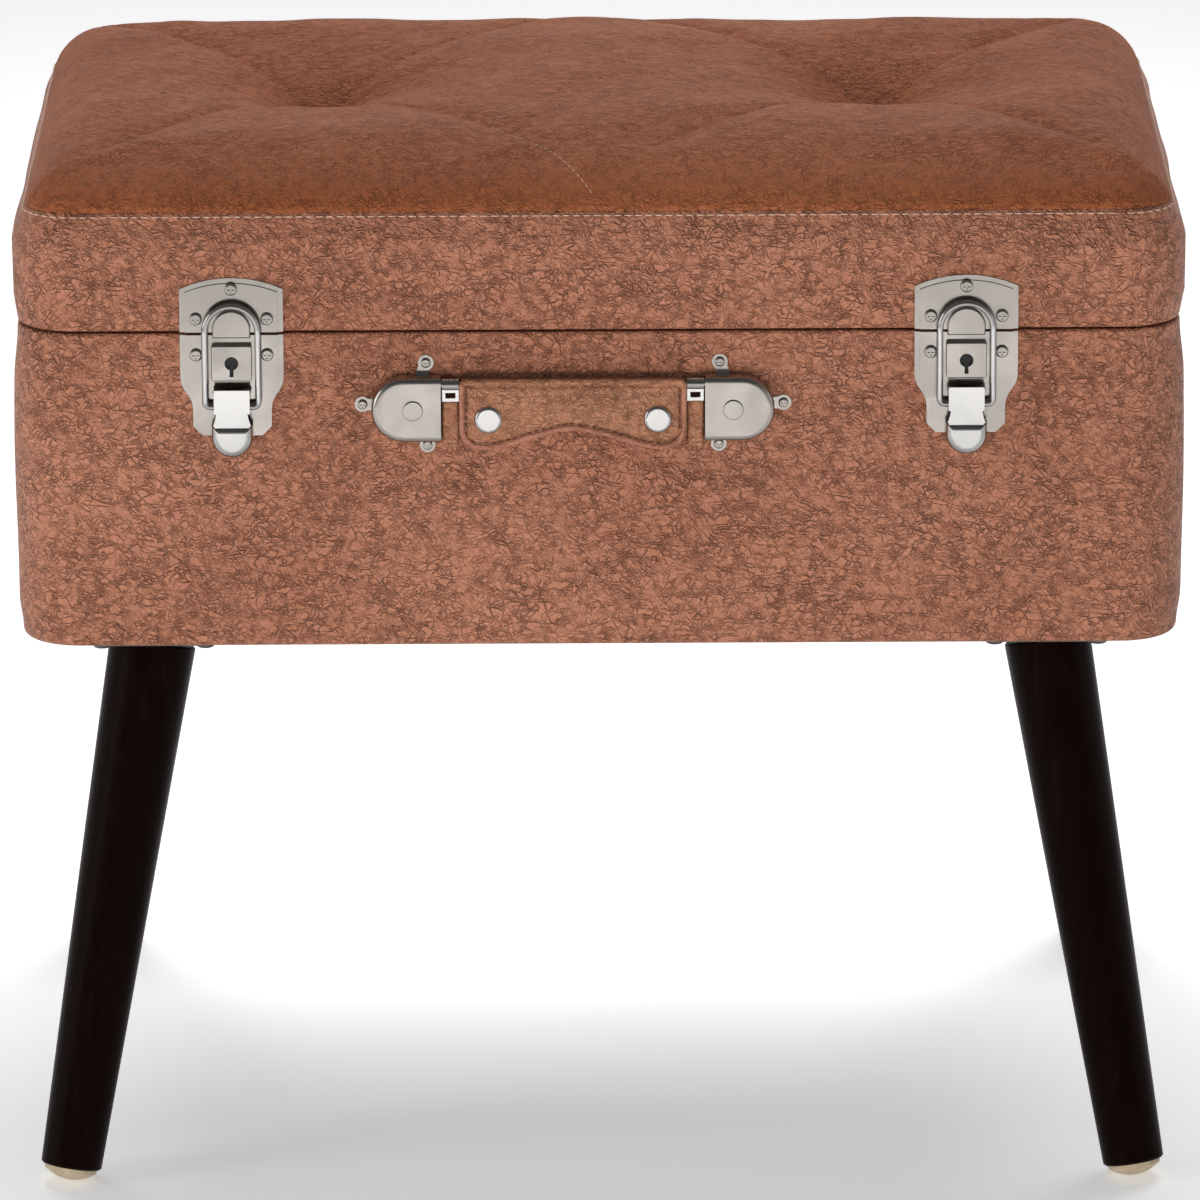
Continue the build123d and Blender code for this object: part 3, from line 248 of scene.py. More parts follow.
# Its contrast setting scales the painted highlights and the painted shade in the creases.
def leather(name, light, dark, fold=1.0, painted_light_contrast=1.0, grain=1.0, shine=0.3):
    """Grained leather cloth: short crossing creases, fine pebbles and cloudy colour, with painted shade in the
    creases and painted highlight specks.
    """
    material, nodes, links, shader, coords = new_material(name)
    clouds = noise(nodes, links, coords, 8.0, 3.0, 0.5, 0.4)
    strokes = None
    for index, turn in enumerate(((0.5, 0.6, 0.4), (-0.4, -0.7, 0.5), (0.2, 1.5, -0.3))):
        slanted = turned(nodes, links, coords, turn, (1.0, 1.0, 0.34))
        scale = (185.0 + 50 * index) * grain
        lines = valleys(nodes, links, noise(nodes, links, slanted, scale, 2.0, 0.5, 0.8), 0.05)
        strokes = lines if strokes is None else math_node(nodes, links, "MULTIPLY", strokes, lines)
    broken = noise(nodes, links, coords, 210.0 * grain, 2.0, 0.5)
    present = ramp(nodes, links, broken, [(0.34, (0.35,) * 3), (0.62, (1, 1, 1))])
    missing = math_node(nodes, links, "SUBTRACT", 1.0, strokes)
    strokes = math_node(nodes, links, "SUBTRACT", 1.0, math_node(nodes, links, "MULTIPLY", missing, present))
    pebbles = nodes.new("ShaderNodeTexVoronoi")
    pebbles.feature = "SMOOTH_F1"
    pebbles.inputs["Scale"].default_value = 560.0 * grain
    links.new(coords, pebbles.inputs["Vector"])
    fine = noise(nodes, links, coords, 1300.0, 2.0, 0.6)
    patches = noise(nodes, links, coords, 45.0, 2.0, 0.5)
    depth = ramp(nodes, links, patches, [(0.3, (0.45,) * 3), (0.65, (1, 1, 1))])
    height = math_node(nodes, links, "MULTIPLY", strokes, depth)
    height = math_node(nodes, links, "ADD", height,
                       math_node(nodes, links, "MULTIPLY", pebbles.outputs["Distance"], -0.5))
    height = math_node(nodes, links, "ADD", height, math_node(nodes, links, "MULTIPLY", fine, 0.3))
    bump(nodes, links, shader, height, 1.0, 0.0013 * fold)
    cloudy = ramp(nodes, links, clouds, [(0.30, dark), (0.70, light)])
    # Pale specks mixed into the colour are painted highlights on the grain; the same noise also varies the
    # roughness.
    highlight_coords = turned(nodes, links, coords, (0.3, 0.7, 0.2), (1.0, 1.0, 0.4))
    highlight_and_gloss_noise = noise(nodes, links, highlight_coords, 950.0 * grain, 3.0, 0.6, 0.5)
    lift = ramp(nodes, links, highlight_and_gloss_noise, [(0.50, (0, 0, 0)), (0.74, (1, 1, 1))])
    highlight_colour = tuple(min(1.0, c * 1.45 + 0.02) for c in light)
    highlight_amount = math_node(nodes, links, "MULTIPLY", lift, 0.42 * painted_light_contrast)
    lit = mix_colour(nodes, links, "MIX", highlight_amount, cloudy, highlight_colour)
    # Darker colour along the crease lines: painted shade in the creases.
    crease_shade = ramp(nodes, links, strokes, [(0.0, (0.46, 0.36, 0.32)), (0.7, (1, 1, 1))])
    links.new(mix_colour(nodes, links, "MULTIPLY", 0.62 * painted_light_contrast, lit, crease_shade), shader.inputs["Base Color"])
    rough = ramp(nodes, links, highlight_and_gloss_noise, [(0.3, (0.42,) * 3), (0.7, (0.56,) * 3)])
    links.new(rough, shader.inputs["Roughness"])
    shader.inputs["Specular IOR Level"].default_value = shine
    return material


def metal(name, colour, low, high, scale, strength, stretch=(1, 1, 1)):
    """Plated steel: faint clouding, fine polishing marks and uneven gloss."""
    material, nodes, links, shader, coords = new_material(name)
    marks = noise(nodes, links, coords, scale, 4.0, 0.6, 0.2, stretch=stretch)
    clouds = noise(nodes, links, coords, 60.0, 3.0, 0.5, 0.5)
    rough = ramp(nodes, links, clouds, [(0.35, (low,) * 3), (0.7, (high,) * 3)])
    links.new(rough, shader.inputs["Roughness"])
    tinted = ramp(nodes, links, clouds, [(0.3, tuple(c * 0.9 for c in colour)), (0.7, colour)])
    links.new(tinted, shader.inputs["Base Color"])
    shader.inputs["Metallic"].default_value = 1.0
    bump(nodes, links, shader, marks, strength, 0.0002)
    return material


def dark_wood(name):
    """Near-black stained beech under satin lacquer, with grain along the leg."""
    material, nodes, links, shader, coords = new_material(name)
    grain = noise(nodes, links, coords, 210.0, 5.0, 0.62, 0.6, stretch=(1, 1, 0.05))
    pores = noise(nodes, links, coords, 900.0, 2.0, 0.5, stretch=(1, 1, 0.03))
    colour = ramp(nodes, links, grain, [(0.25, (0.0025, 0.0008, 0.0005)), (0.62, (0.006, 0.0020, 0.0011)),
                                        (0.85, (0.015, 0.0055, 0.0030))])
    links.new(colour, shader.inputs["Base Color"])
    rough = ramp(nodes, links, grain, [(0.3, (0.30,) * 3), (0.8, (0.42,) * 3)])
    links.new(rough, shader.inputs["Roughness"])
    shader.inputs["Specular IOR Level"].default_value = 0.05
    shader.inputs["IOR"].default_value = 1.35
    bump(nodes, links, shader, math_node(nodes, links, "ADD", grain, pores), 0.25, 0.0003)
    return material


def raw_board(name, low, high, stretch):
    material, nodes, links, shader, coords = new_material(name)
    fibres = noise(nodes, links, coords, 420.0, 5.0, 0.6, 0.3, stretch=stretch)
    links.new(ramp(nodes, links, fibres, [(0.3, low), (0.7, high)]), shader.inputs["Base Color"])
    shader.inputs["Roughness"].default_value = 0.78
    bump(nodes, links, shader, fibres, 0.35, 0.0004)
    return material


def woven(name, low, high, pitch, strength=0.5):
    """Plain-woven cloth: two crossed sets of threads with slubs."""
    material, nodes, links, shader, coords = new_material(name)
    split = nodes.new("ShaderNodeSeparateXYZ")
    links.new(coords, split.inputs[0])

    def threads(across):
        return math_node(nodes, links, "SINE", math_node(nodes, links, "MULTIPLY", across, 2 * math.pi / pitch), 0)

    x, y, z = split.outputs
    crossed = math_node(nodes, links, "MULTIPLY", threads(x), threads(math_node(nodes, links, "ADD", y, z)))
    weave = math_node(nodes, links, "ADD", crossed, threads(z))
    slubs = noise(nodes, links, coords, 500.0, 3.0, 0.6)
    height = math_node(nodes, links, "ADD", math_node(nodes, links, "MULTIPLY", weave, 0.25), slubs)
    links.new(ramp(nodes, links, height, [(0.2, low), (0.8, high)]), shader.inputs["Base Color"])
    shader.inputs["Roughness"].default_value = 0.9
    shader.inputs["Sheen Weight"].default_value = 0.25
    bump(nodes, links, shader, height, strength, 0.0003)
    return material


def moulded(name, low, high):
    material, nodes, links, shader, coords = new_material(name)
    mottling = noise(nodes, links, coords, 160.0, 3.0, 0.5)
    fine = noise(nodes, links, coords, 1500.0, 2.0, 0.5)
    links.new(ramp(nodes, links, mottling, [(0.3, low), (0.7, high)]), shader.inputs["Base Color"])
    rough = ramp(nodes, links, mottling, [(0.3, (0.34,) * 3), (0.7, (0.5,) * 3)])
    links.new(rough, shader.inputs["Roughness"])
    bump(nodes, links, shader, fine, 0.2, 0.0002)
    return material


# The seat's copy of the leather is darker and more saturated than the case's: painted shade for the top, which is
# the same leather.
LEATHER = leather("leather_cloth", (0.455, 0.190, 0.112), (0.372, 0.146, 0.083), fold=1.15, painted_light_contrast=1.2)
LEATHER_SEAT_SHADED = leather("leather_cloth_seat_shaded", (0.352, 0.116, 0.049), (0.280, 0.083, 0.033),
                       fold=0.7, painted_light_contrast=0.6, shine=0.04)
LEATHER_FINE = leather("leather_cloth_fine", (0.458, 0.212, 0.120), (0.380, 0.165, 0.088),
                       fold=0.7, painted_light_contrast=0.9, grain=1.25)
LEATHER_EDGE = leather("leather_cloth_edge", (0.450, 0.200, 0.125), (0.380, 0.155, 0.095),
                       fold=0.4, painted_light_contrast=0.5, grain=1.25)
THREAD = woven("stitching_thread", (0.50, 0.28, 0.19), (0.80, 0.56, 0.43), 0.6 * MM, 0.4)
# The grip's stitches are real; their near-black colour is painted shade of the groove they sit in.
THREAD_GROOVE_SHADE = woven("stitching_thread_groove_shade", (0.05, 0.012, 0.008), (0.13, 0.035, 0.02), 0.6 * MM, 0.4)
NICKEL = metal("nickel_satin", (0.385, 0.355, 0.325), 0.12, 0.24, 900.0, 0.10, (1, 1, 0.12))
POLISHED = metal("nickel_polished", (0.42, 0.41, 0.40), 0.03, 0.08, 700.0, 0.05)
# Near-black zinc: painted shade, so the leg plates and screws under the case are as dark as the shadow there.
ZINC_SHADED = metal("zinc_plate_shaded", (0.13, 0.13, 0.128), 0.34, 0.5, 500.0, 0.2)
DARK_WOOD = dark_wood("dark_leg_wood")
BOARD = raw_board("raw_fibreboard", (0.20, 0.12, 0.065), (0.34, 0.22, 0.13), (1, 1, 1))
SOFTWOOD = raw_board("planed_softwood", (0.42, 0.27, 0.14), (0.60, 0.42, 0.24), (1, 1, 0.08))
LINING = woven("lining_cloth", (0.05, 0.032, 0.024), (0.11, 0.075, 0.055), 1.1 * MM)
DUST = woven("dust_cloth", (0.006, 0.006, 0.007), (0.02, 0.02, 0.021), 0.9 * MM)
PLASTIC = moulded("glide_plastic", (0.34, 0.26, 0.16), (0.52, 0.42, 0.28))
TWINE = woven("waxed_twine", (0.20, 0.12, 0.07), (0.38, 0.25, 0.16), 0.5 * MM)
FOAM = woven("foam", (0.45, 0.40, 0.26), (0.70, 0.64, 0.46), 1.5 * MM)

SLOT_MATERIALS = {"leather": LEATHER_FINE, "nickel": NICKEL, "polished_nickel": POLISHED, "zinc_steel": ZINC_SHADED,
                  "dark_wood": DARK_WOOD, "board": BOARD, "softwood": SOFTWOOD, "lining_cloth": LINING,
                  "dust_cloth": DUST, "glide_plastic": PLASTIC, "twine": TWINE, "foam": FOAM}
for part in frame["record"]["subparts"]:
    node = frame["nodes"][part["node"]]
    material = SLOT_MATERIALS[part["material_slot"]]
    if not node.material_slots:
        node.data.materials.append(material)
    for material_slot in node.material_slots:
        material_slot.material = material

# ------------------------------------------------------------------ leather on the case and the lid
SKIN = 1.0 * MM
SKIN_GAP = 0.2 * MM
TURNED_IN = 12.4 * MM
LID_FOOT_ROUND = 2 * MM
ROUND_STEPS = 5
PRESSED_MARGIN = 16 * MM
# Where plates press the leather flat: centre x, centre z, half width, half height.
FRONT_PLATES = [(LATCH_X, 360 * MM, 24 * MM, 38 * MM), (-LATCH_X, 360 * MM, 24 * MM, 38 * MM),
                (-11 * MM, 340 * MM, 94 * MM, 22 * MM)]
REAR_LEAVES = (HINGE_X, HINGE_Z, 22 * MM, 26 * MM)


def clear_of(plate, x, z):
    """0 on a plate, rising to 1 at the margin round it."""
    cx, cz, half_x, half_z = plate
    away = np.hypot(np.maximum(np.abs(x - cx) - half_x, 0), max(abs(z - cz) - half_z, 0))
    return smoothstep(away / PRESSED_MARGIN)


def padding_shift(points, normals, z):
    """How far the thin foam pushes the leather out: nothing under the plates, and uneven elsewhere."""
    x, y = points[:, 0], points[:, 1]
    front = np.min([clear_of(plate, x, z) for plate in FRONT_PLATES], axis=0)
    rear = clear_of(REAR_LEAVES, np.abs(x), z)
    free = np.where(normals[:, 1] > 0.5, rear, np.where(normals[:, 1] < -0.5, front, 1))
    fuller = 1 + 0.9 * np.abs(normals[:, 0])
    return free * fuller * (0.8 + 0.2 * wave(x + y, np.full(len(x), z), 11, 90 * MM))


def quarter_angles():
    return [math.radians(90 * k / ROUND_STEPS) for k in range(ROUND_STEPS + 1)]


def foot_arc(radius, bottom):
    """The quarter round from the underside to the wall."""
    return [(-radius + radius * math.sin(a), bottom + radius - radius * math.cos(a), 0) for a in quarter_angles()]


def skin_profile(bottom, top, foot_round, head_round, foot_inset, head_inset, puff):
    """The closed outline of the leather: hem, wall and turned-in edge, then back along its inner side."""
    outer = [(-foot_inset, bottom, 0)] + foot_arc(foot_round, bottom)
    low, high = bottom + foot_round, top - head_round
    wall_steps = 34
    for k in range(1, wall_steps):
        t = k / wall_steps
        outer.append((0, low + (high - low) * t, puff * float(smoothstep(min(1, 9 * t, 6 * (1 - t))))))
    for a in quarter_angles():
        outer.append((-head_round + head_round * math.cos(a), top - head_round + head_round * math.sin(a), 0))
    outer.append((-head_inset, top, 0))
    inner = [(-head_inset, top - SKIN, 0), (-SKIN - SKIN_GAP, top - SKIN, 0),
             (-SKIN - SKIN_GAP, bottom + SKIN, 0), (-foot_inset, bottom + SKIN, 0)]
    return outer + inner


case_profile = skin_profile(CASE_LOW.z, CASE_HIGH.z, foot_round=3 * MM, head_round=1.6 * MM,
                            foot_inset=15 * MM, head_inset=TURNED_IN, puff=1.3 * MM)
case_skin = sweep_round("case_leather", case_profile, padding_shift)
finish_piece(case_skin, "case", LEATHER, ("case_cover", "case_padding"))


def band_profile():
    """The lid's side band: split edge, padded wall that leans in to the top seam, and its inner side."""
    top, bottom = SEAM_Z, LID_LOW.z
    outer = [(-TURNED_IN, bottom, 0)] + foot_arc(LID_FOOT_ROUND, bottom)
    wall_steps = 30
    for k in range(1, wall_steps):
        t = k / wall_steps
        z = bottom + LID_FOOT_ROUND + (top - bottom - LID_FOOT_ROUND) * t
        lean = -(SEAT_INSET - 0.3 * MM) * smoothstep((t - 0.62) / 0.38) ** 1.6
        outer.append((float(lean), z, 1.2 * MM * min(1, 5 * t, 3.2 * (1 - t))))
    outer.append((-SEAT_INSET - 0.4 * MM, top + 0.2 * MM, 0))
    inner = [(-SEAT_INSET - 2.6 * MM, top - 1.2 * MM, 0), (-SEAT_INSET - 2.0 * MM, bottom + 1.4 * MM, 0),
             (-TURNED_IN, bottom + SKIN, 0)]
    return outer + inner


lid_band = sweep_round("lid_band_leather", band_profile(), padding_shift)
finish_piece(lid_band, "lid", LEATHER, ("lid_cover", "lid_padding"))

# ------------------------------------------------------------------ the tufted seat
SEAT_A, SEAT_B = SEAT_HIGH.x, SEAT_HIGH.y
SEAT_R = CORNER - SEAT_INSET


def plan_grid(columns, rows):
    """A grid over the seat's rounded plan."""
    u = np.linspace(-1, 1, columns)
    v = np.linspace(-1, 1, rows)
    x, y = np.meshgrid(u * SEAT_A, v * SEAT_B, indexing="ij")
    p = np.clip((np.abs(x) - (SEAT_A - SEAT_R)) / SEAT_R, 0, 1)
    q = np.clip((np.abs(y) - (SEAT_B - SEAT_R)) / SEAT_R, 0, 1)
    both = (p > 0) & (q > 0)
    px = np.where(both, p * np.sqrt(1 - q * q / 2), p)
    qy = np.where(both, q * np.sqrt(1 - p * p / 2), q)
    x = np.where(p > 0, np.sign(x) * (SEAT_A - SEAT_R + px * SEAT_R), x)
    y = np.where(q > 0, np.sign(y) * (SEAT_B - SEAT_R + qy * SEAT_R), y)
    return x, y


def edge_distance(x, y):
    qx, qy = np.abs(x) - (SEAT_A - SEAT_R), np.abs(y) - (SEAT_B - SEAT_R)
    outside = np.hypot(np.maximum(qx, 0), np.maximum(qy, 0)) + np.minimum(np.maximum(qx, qy), 0)
    return np.maximum(SEAT_R - outside, 0)


SHOULDER = 35 * MM
SIDE_SHOULDER = 26 * MM
SHOULDER_RISE = 17.5 * MM
TUFT_DEPTH = 25 * MM
TUFT_SPREAD = 34 * MM
TUFT_SOFTNESS = 7 * MM
PULLED_FLAT = 9 * MM
CROWN_MARGIN = 2 * MM
CLOTH_FRAMES = 20
CLOTH_GRID = (97, 63)
CLOTH_CAP = 5 * MM


def tuft_radius(x, y):
    return np.minimum(np.hypot(x - TUFTS[0][0], y), np.hypot(x - TUFTS[1][0], y))


def crown_height(x, y):
    """The stuffed top before its seams: steep shoulders, a low crown and two pulled-down tufts."""
    sideways = smoothstep(0.5 + ((SEAT_B - np.abs(y)) - (SEAT_A - np.abs(x))) / (40 * MM))
    t = np.clip(edge_distance(x, y) / (SHOULDER + (SIDE_SHOULDER - SHOULDER) * sideways), 0, 1)
    shoulder = SHOULDER_RISE * (1 - (1 - t) ** 2.1) ** 0.82
    broad = (CROWN_Z - SEAM_Z - SHOULDER_RISE) * np.maximum(1 - np.abs(x / SEAT_A) ** 5, 0) ** 0.7 \
        * np.maximum(1 - (y / SEAT_B) ** 2, 0)
    r = tuft_radius(x, y)
    soft_r = np.sqrt(r * r + TUFT_SOFTNESS ** 2) - TUFT_SOFTNESS
    dip = TUFT_DEPTH * np.exp(-soft_r / TUFT_SPREAD)
    return SEAM_Z + shoulder + broad - dip


def seam_lines():
    """The sewn diagonals, from each tuft to the corners of its half of the top."""
    lines = []
    for tx, ty in TUFTS:
        side = math.copysign(1, tx)
        for cx in (side * (SEAT_A - 5 * MM), 0.0):
            for sy in (-1, 1):
                lines.append(((tx, ty), (cx, sy * (SEAT_B - 2 * MM))))
    return lines


def seam_distance(x, y):
    """Distance to the nearest diagonal, and how far along it from the tuft that is."""
    best = np.full(x.shape, 1.0)
    along = np.zeros(x.shape)
    for (x0, y0), (x1, y1) in seam_lines():
        dx, dy = x1 - x0, y1 - y0
        t = np.clip(((x - x0) * dx + (y - y0) * dy) / (dx * dx + dy * dy), 0, 1)
        d = np.hypot(x - x0 - t * dx, y - y0 - t * dy)
        along = np.where(d < best, t, along)
        best = np.minimum(best, d)
    return best, along


def seam_relief(x, y):
    """Sewn channels: a narrow groove along the bottom of a shallow valley."""
    d, t = seam_distance(x, y)
    fade = 1 - 0.35 * t
    edge = smoothstep(edge_distance(x, y) / (10 * MM))
    groove = -0.8 * MM * np.exp(-(d / (1.1 * MM)) ** 2)
    valley = -0.9 * MM * np.exp(-(d / (8 * MM)) ** 2)
    return (groove + valley) * fade * edge


def pleats(x, y):
    """Small gathers that run out from each button."""
    total = np.zeros(x.shape)
    for i, (tx, ty) in enumerate(TUFTS):
        r = np.hypot(x - tx, y - ty)
        angle = np.arctan2(y - ty, x - tx)
        ray = np.sin(7 * angle + 1.3 + 2 * i + 1.2 * np.sin(2 * angle + i)) \
            + 0.5 * np.sin(13 * angle + 0.4 * i)
        total += 0.75 * MM * ray * smoothstep((r - 7 * MM) / (10 * MM)) * np.exp(-r / (26 * MM))
    return total


def simulated_shift(columns, rows):
    """Cloth pressed out from inside, held at the seam and the buttons: the shift of each grid point."""
    x, y = plan_grid(columns, rows)
    z = crown_height(x, y) - 1.2 * MM
    verts = np.stack([x, y, z], -1).reshape(-1, 3)
    obj = mesh_object("seat_cloth_trial", verts, grid_faces(columns, rows))
    edge = edge_distance(x, y).reshape(-1)
    tuft = tuft_radius(x, y).reshape(-1)
    seam = seam_distance(x, y)[0].reshape(-1)
    hold = np.maximum(edge < 1.0 * MM, tuft < PULLED_FLAT).astype(float)
    hold = np.maximum(hold, 0.55 * np.exp(-(seam / (4 * MM)) ** 2))
    group = obj.vertex_groups.new(name="held")
    for index, weight in enumerate(hold):
        if weight > 0.02:
            group.add([index], float(weight), "REPLACE")
    cloth = obj.modifiers.new("cloth", "CLOTH")
    settings = cloth.settings
    settings.quality = 6
    settings.mass = 0.35
    settings.tension_stiffness = settings.compression_stiffness = 18
    settings.shear_stiffness = 8
    settings.bending_stiffness = 0.8
    settings.use_pressure = True
    settings.uniform_pressure_force = 4.0
    settings.effector_weights.gravity = 0
    settings.vertex_group_mass = "held"
    settings.pin_stiffness = 1.0
    scene = bpy.context.scene
    scene.frame_start, scene.frame_end = 1, CLOTH_FRAMES
    for number in range(1, CLOTH_FRAMES + 1):
        scene.frame_set(number)
    graph = bpy.context.evaluated_depsgraph_get()
    evaluated = obj.evaluated_get(graph)
    moved = np.array([v.co for v in evaluated.data.vertices])
    scene.frame_set(1)
    bpy.data.objects.remove(obj)
    shift = moved - verts
    size = np.linalg.norm(shift, axis=1)
    shift *= (CLOTH_CAP * np.tanh(size / CLOTH_CAP) / np.maximum(size, 1e-9))[:, None]
    return shift.reshape(columns, rows, 3)


def upsample(field, columns, rows):
    """The same field on a finer grid, blended smoothly between its points."""
    c, r = field.shape[:2]
    u, v = np.linspace(0, c - 1, columns), np.linspace(0, r - 1, rows)
    i, j = np.minimum(u.astype(int), c - 2), np.minimum(v.astype(int), r - 2)
    fu, fv = smoothstep(u - i)[:, None, None], smoothstep(v - j)[None, :, None]
    a = field[i][:, j] * (1 - fu) + field[i + 1][:, j] * fu
    b = field[i][:, j + 1] * (1 - fu) + field[i + 1][:, j + 1] * fu
    return a * (1 - fv) + b * fv


COLUMNS, ROWS = 321, 205


def build_seat():
    x, y = plan_grid(COLUMNS, ROWS)
    z = crown_height(x, y)
    shift = upsample(simulated_shift(*CLOTH_GRID), COLUMNS, ROWS)
    x, y, z = x + shift[..., 0], y + shift[..., 1], z + shift[..., 2]
    inside = smoothstep(edge_distance(x, y) / (30 * MM))
    z = z + seam_relief(x, y) + pleats(x, y) + inside * 0.9 * MM * wave(x, y, 5, 95 * MM) \
        + inside * 0.25 * MM * wave(x, y, 9, 24 * MM)
    z = np.minimum(z, CROWN_Z + CROWN_MARGIN)
    top = np.stack([x, y, z], -1).reshape(-1, 3)
    faces = grid_faces(COLUMNS, ROWS)
    rim = grid_rim(COLUMNS, ROWS)
    base = len(top)
    under_z, under_scale = SEAM_Z - 1.5 * MM, 0.985
    under = [(top[k][0] * under_scale, top[k][1] * under_scale, under_z) for k in rim]
    centre = base + len(under)
    verts = list(top) + under + [(0, 0, under_z)]
    count = len(rim)
    for k in range(count):
        n = (k + 1) % count
        faces.append((rim[n], rim[k], base + k, base + n))
        faces.append((base + n, base + k, centre))
    return mesh_object("seat_leather", verts, faces)


seat = build_seat()
finish_piece(seat, "lid", LEATHER_SEAT_SHADED, ("seat_cover", "seat_foam"))


def build_buttons():
    """Two covered buttons: domes that turn in under their widest ring, with a faintly gathered rim."""
    verts, faces = [], []
    rings, segments = 14, 48
    foot = CROWN_Z - TUFT_DEPTH - 1.5 * MM
    for tx, ty in TUFTS:
        base = len(verts)
        for k in range(rings):
            t = k / (rings - 1)
            a = t * math.pi * 0.62
            r = BUTTON_RADIUS * math.sin(min(a, math.pi / 2)) * (1 - 0.1 * max(0, a - math.pi / 2))
            z = foot + 4.2 * MM * math.cos(a)
            for s in range(segments):
                b = 2 * math.pi * s / segments
                pinch = 1 + 0.012 * math.sin(9 * b) * t
                verts.append((tx + r * pinch * math.cos(b), ty + r * pinch * math.sin(b), z))
        for k in range(rings - 1):
            for s in range(segments):
                n = (s + 1) % segments
                faces.append((base + k * segments + s, base + (k + 1) * segments + s,
                              base + (k + 1) * segments + n, base + k * segments + n))
        faces.append(tuple(base + (rings - 1) * segments + s for s in reversed(range(segments))))
    return mesh_object("seat_buttons", verts, faces)


buttons = build_buttons()
finish_piece(buttons, "lid", LEATHER_SEAT_SHADED, ("tuft_buttons",))


def tube(name, paths, radius, sides=10):
    """Round cords along open paths, closed at both ends."""
    verts, faces = [], []
    for path in paths:
        path = [Vector(p) for p in path]
        base = len(verts)
        side = None
        for k, centre in enumerate(path):
            along = (path[min(k + 1, len(path) - 1)] - path[max(k - 1, 0)]).normalized()
            start = side if side is not None else Vector((0, 1, 0))
            if abs(start.dot(along)) > 0.95:
                start = Vector((1, 0, 0))
            side = (start - along * start.dot(along)).normalized()
            other = along.cross(side)
            for q in range(sides):
                a = 2 * math.pi * q / sides
                verts.append(centre + radius * (math.cos(a) * side + math.sin(a) * other))
        for k in range(len(path) - 1):
            for q in range(sides):
                n = (q + 1) % sides
                i, j = base + k * sides, base + (k + 1) * sides
                faces.append((i + q, i + n, j + n, j + q))
        faces.append(tuple(base + q for q in reversed(range(sides))))
        faces.append(tuple(base + (len(path) - 1) * sides + q for q in range(sides)))
    return mesh_object(name, verts, faces)


TWINE_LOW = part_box("tuft_twines")[0].z
twines = tube("seat_twines", [[(tx, ty, TWINE_LOW + (CROWN_Z - TUFT_DEPTH - 2 * MM - TWINE_LOW) * k / 6)
                               for k in range(7)] for tx, ty in TUFTS], 0.8 * MM)
finish_piece(twines, "lid", TWINE, ("tuft_twines",))

# ------------------------------------------------------------------ stitching
STITCH_SIDES = 6


def stitch_run(name, points, normals, length, gap, radius, lift):
    """Short thread stitches laid along a path, each sunk a little at its ends."""
    points, normals = np.asarray(points, float), np.asarray(normals, float)
    steps = np.linalg.norm(np.diff(points, axis=0), axis=1)
    distance = np.concatenate([[0], np.cumsum(steps)])
    total = distance[-1]
    verts, faces = [], []
    at = gap
    while at + length < total:
        rings = []
        for k in range(5):
            s = at + length * k / 4
            centre = np.array([np.interp(s, distance, points[:, c]) for c in range(3)])
            ahead = np.array([np.interp(min(s + 0.2 * MM, total), distance, points[:, c]) for c in range(3)])
            normal = np.array([np.interp(s, distance, normals[:, c]) for c in range(3)])
            along = ahead - centre
            along = along / max(np.linalg.norm(along), 1e-9)
            side = np.cross(along, normal)
            side = side / max(np.linalg.norm(side), 1e-9)
            bow = math.sin(math.pi * k / 4)
            size = radius * (0.45 + 0.55 * bow)
            centre = centre + normal * (lift * bow - 0.35 * radius)
            ring = []
            for q in range(STITCH_SIDES):
                a = 2 * math.pi * q / STITCH_SIDES
                ring.append(len(verts))
                verts.append(centre + size * (math.cos(a) * side + math.sin(a) * normal))
            rings.append(ring)
        for a, b in zip(rings, rings[1:]):
            for q in range(STITCH_SIDES):
                n = (q + 1) % STITCH_SIDES
                faces.append((a[q], a[n], b[n], b[q]))
        faces.append(tuple(reversed(rings[0])))
        faces.append(tuple(rings[-1]))
        at += length + gap
    return mesh_object(name, verts, faces)


def seam_ring():
    points, normals = rounded_outline(HALF_X, HALF_Y, CORNER, 2 * MM, 24)
    drop, inset = 1.9 * MM, SEAT_INSET - 0.9 * MM
    path = [(p[0] - n[0] * inset, p[1] - n[1] * inset, SEAM_Z - drop) for p, n in zip(points, normals)]
    out = [(n[0] * 0.8, n[1] * 0.8, 0.6) for n in normals]
    return path + path[:1], out + out[:1]


ring_path, ring_out = seam_ring()
top_stitches = stitch_run("top_seam_stitches", ring_path, ring_out, 3.1 * MM, 1.2 * MM, 0.34 * MM, 0.25 * MM)
finish_piece(top_stitches, "lid", THREAD)

SEAT_TREE = BVHTree.FromObject(seat, bpy.context.evaluated_depsgraph_get())


def on_seat(x, y):
    """The point and normal of the finished seat under (x, y)."""
    place, normal, _, _ = SEAT_TREE.ray_cast(Vector((x, y, CROWN_Z + 0.1)), Vector((0, 0, -1)))
    return place, normal


# A pale thread along the lower part of one crease only, the left tuft's front-centre one: painted highlight for
# the fold's lit edge.
(x0, y0), (x1, y1) = next((tuft, end) for tuft, end in seam_lines()
                          if tuft[0] < 0 and end[0] == 0 and end[1] < 0)
crease = [on_seat(x0 + (x1 - x0) * t, y0 + (y1 - y0) * t) for t in np.linspace(0.62, 0.99, 60)]
crease_highlight_thread = stitch_run("crease_highlight_stitches", [tuple(p) for p, _ in crease], [tuple(n) for _, n in crease],
                           2.6 * MM, 0.7 * MM, 0.22 * MM, 0.1 * MM)
finish_piece(crease_highlight_thread, "lid", THREAD)

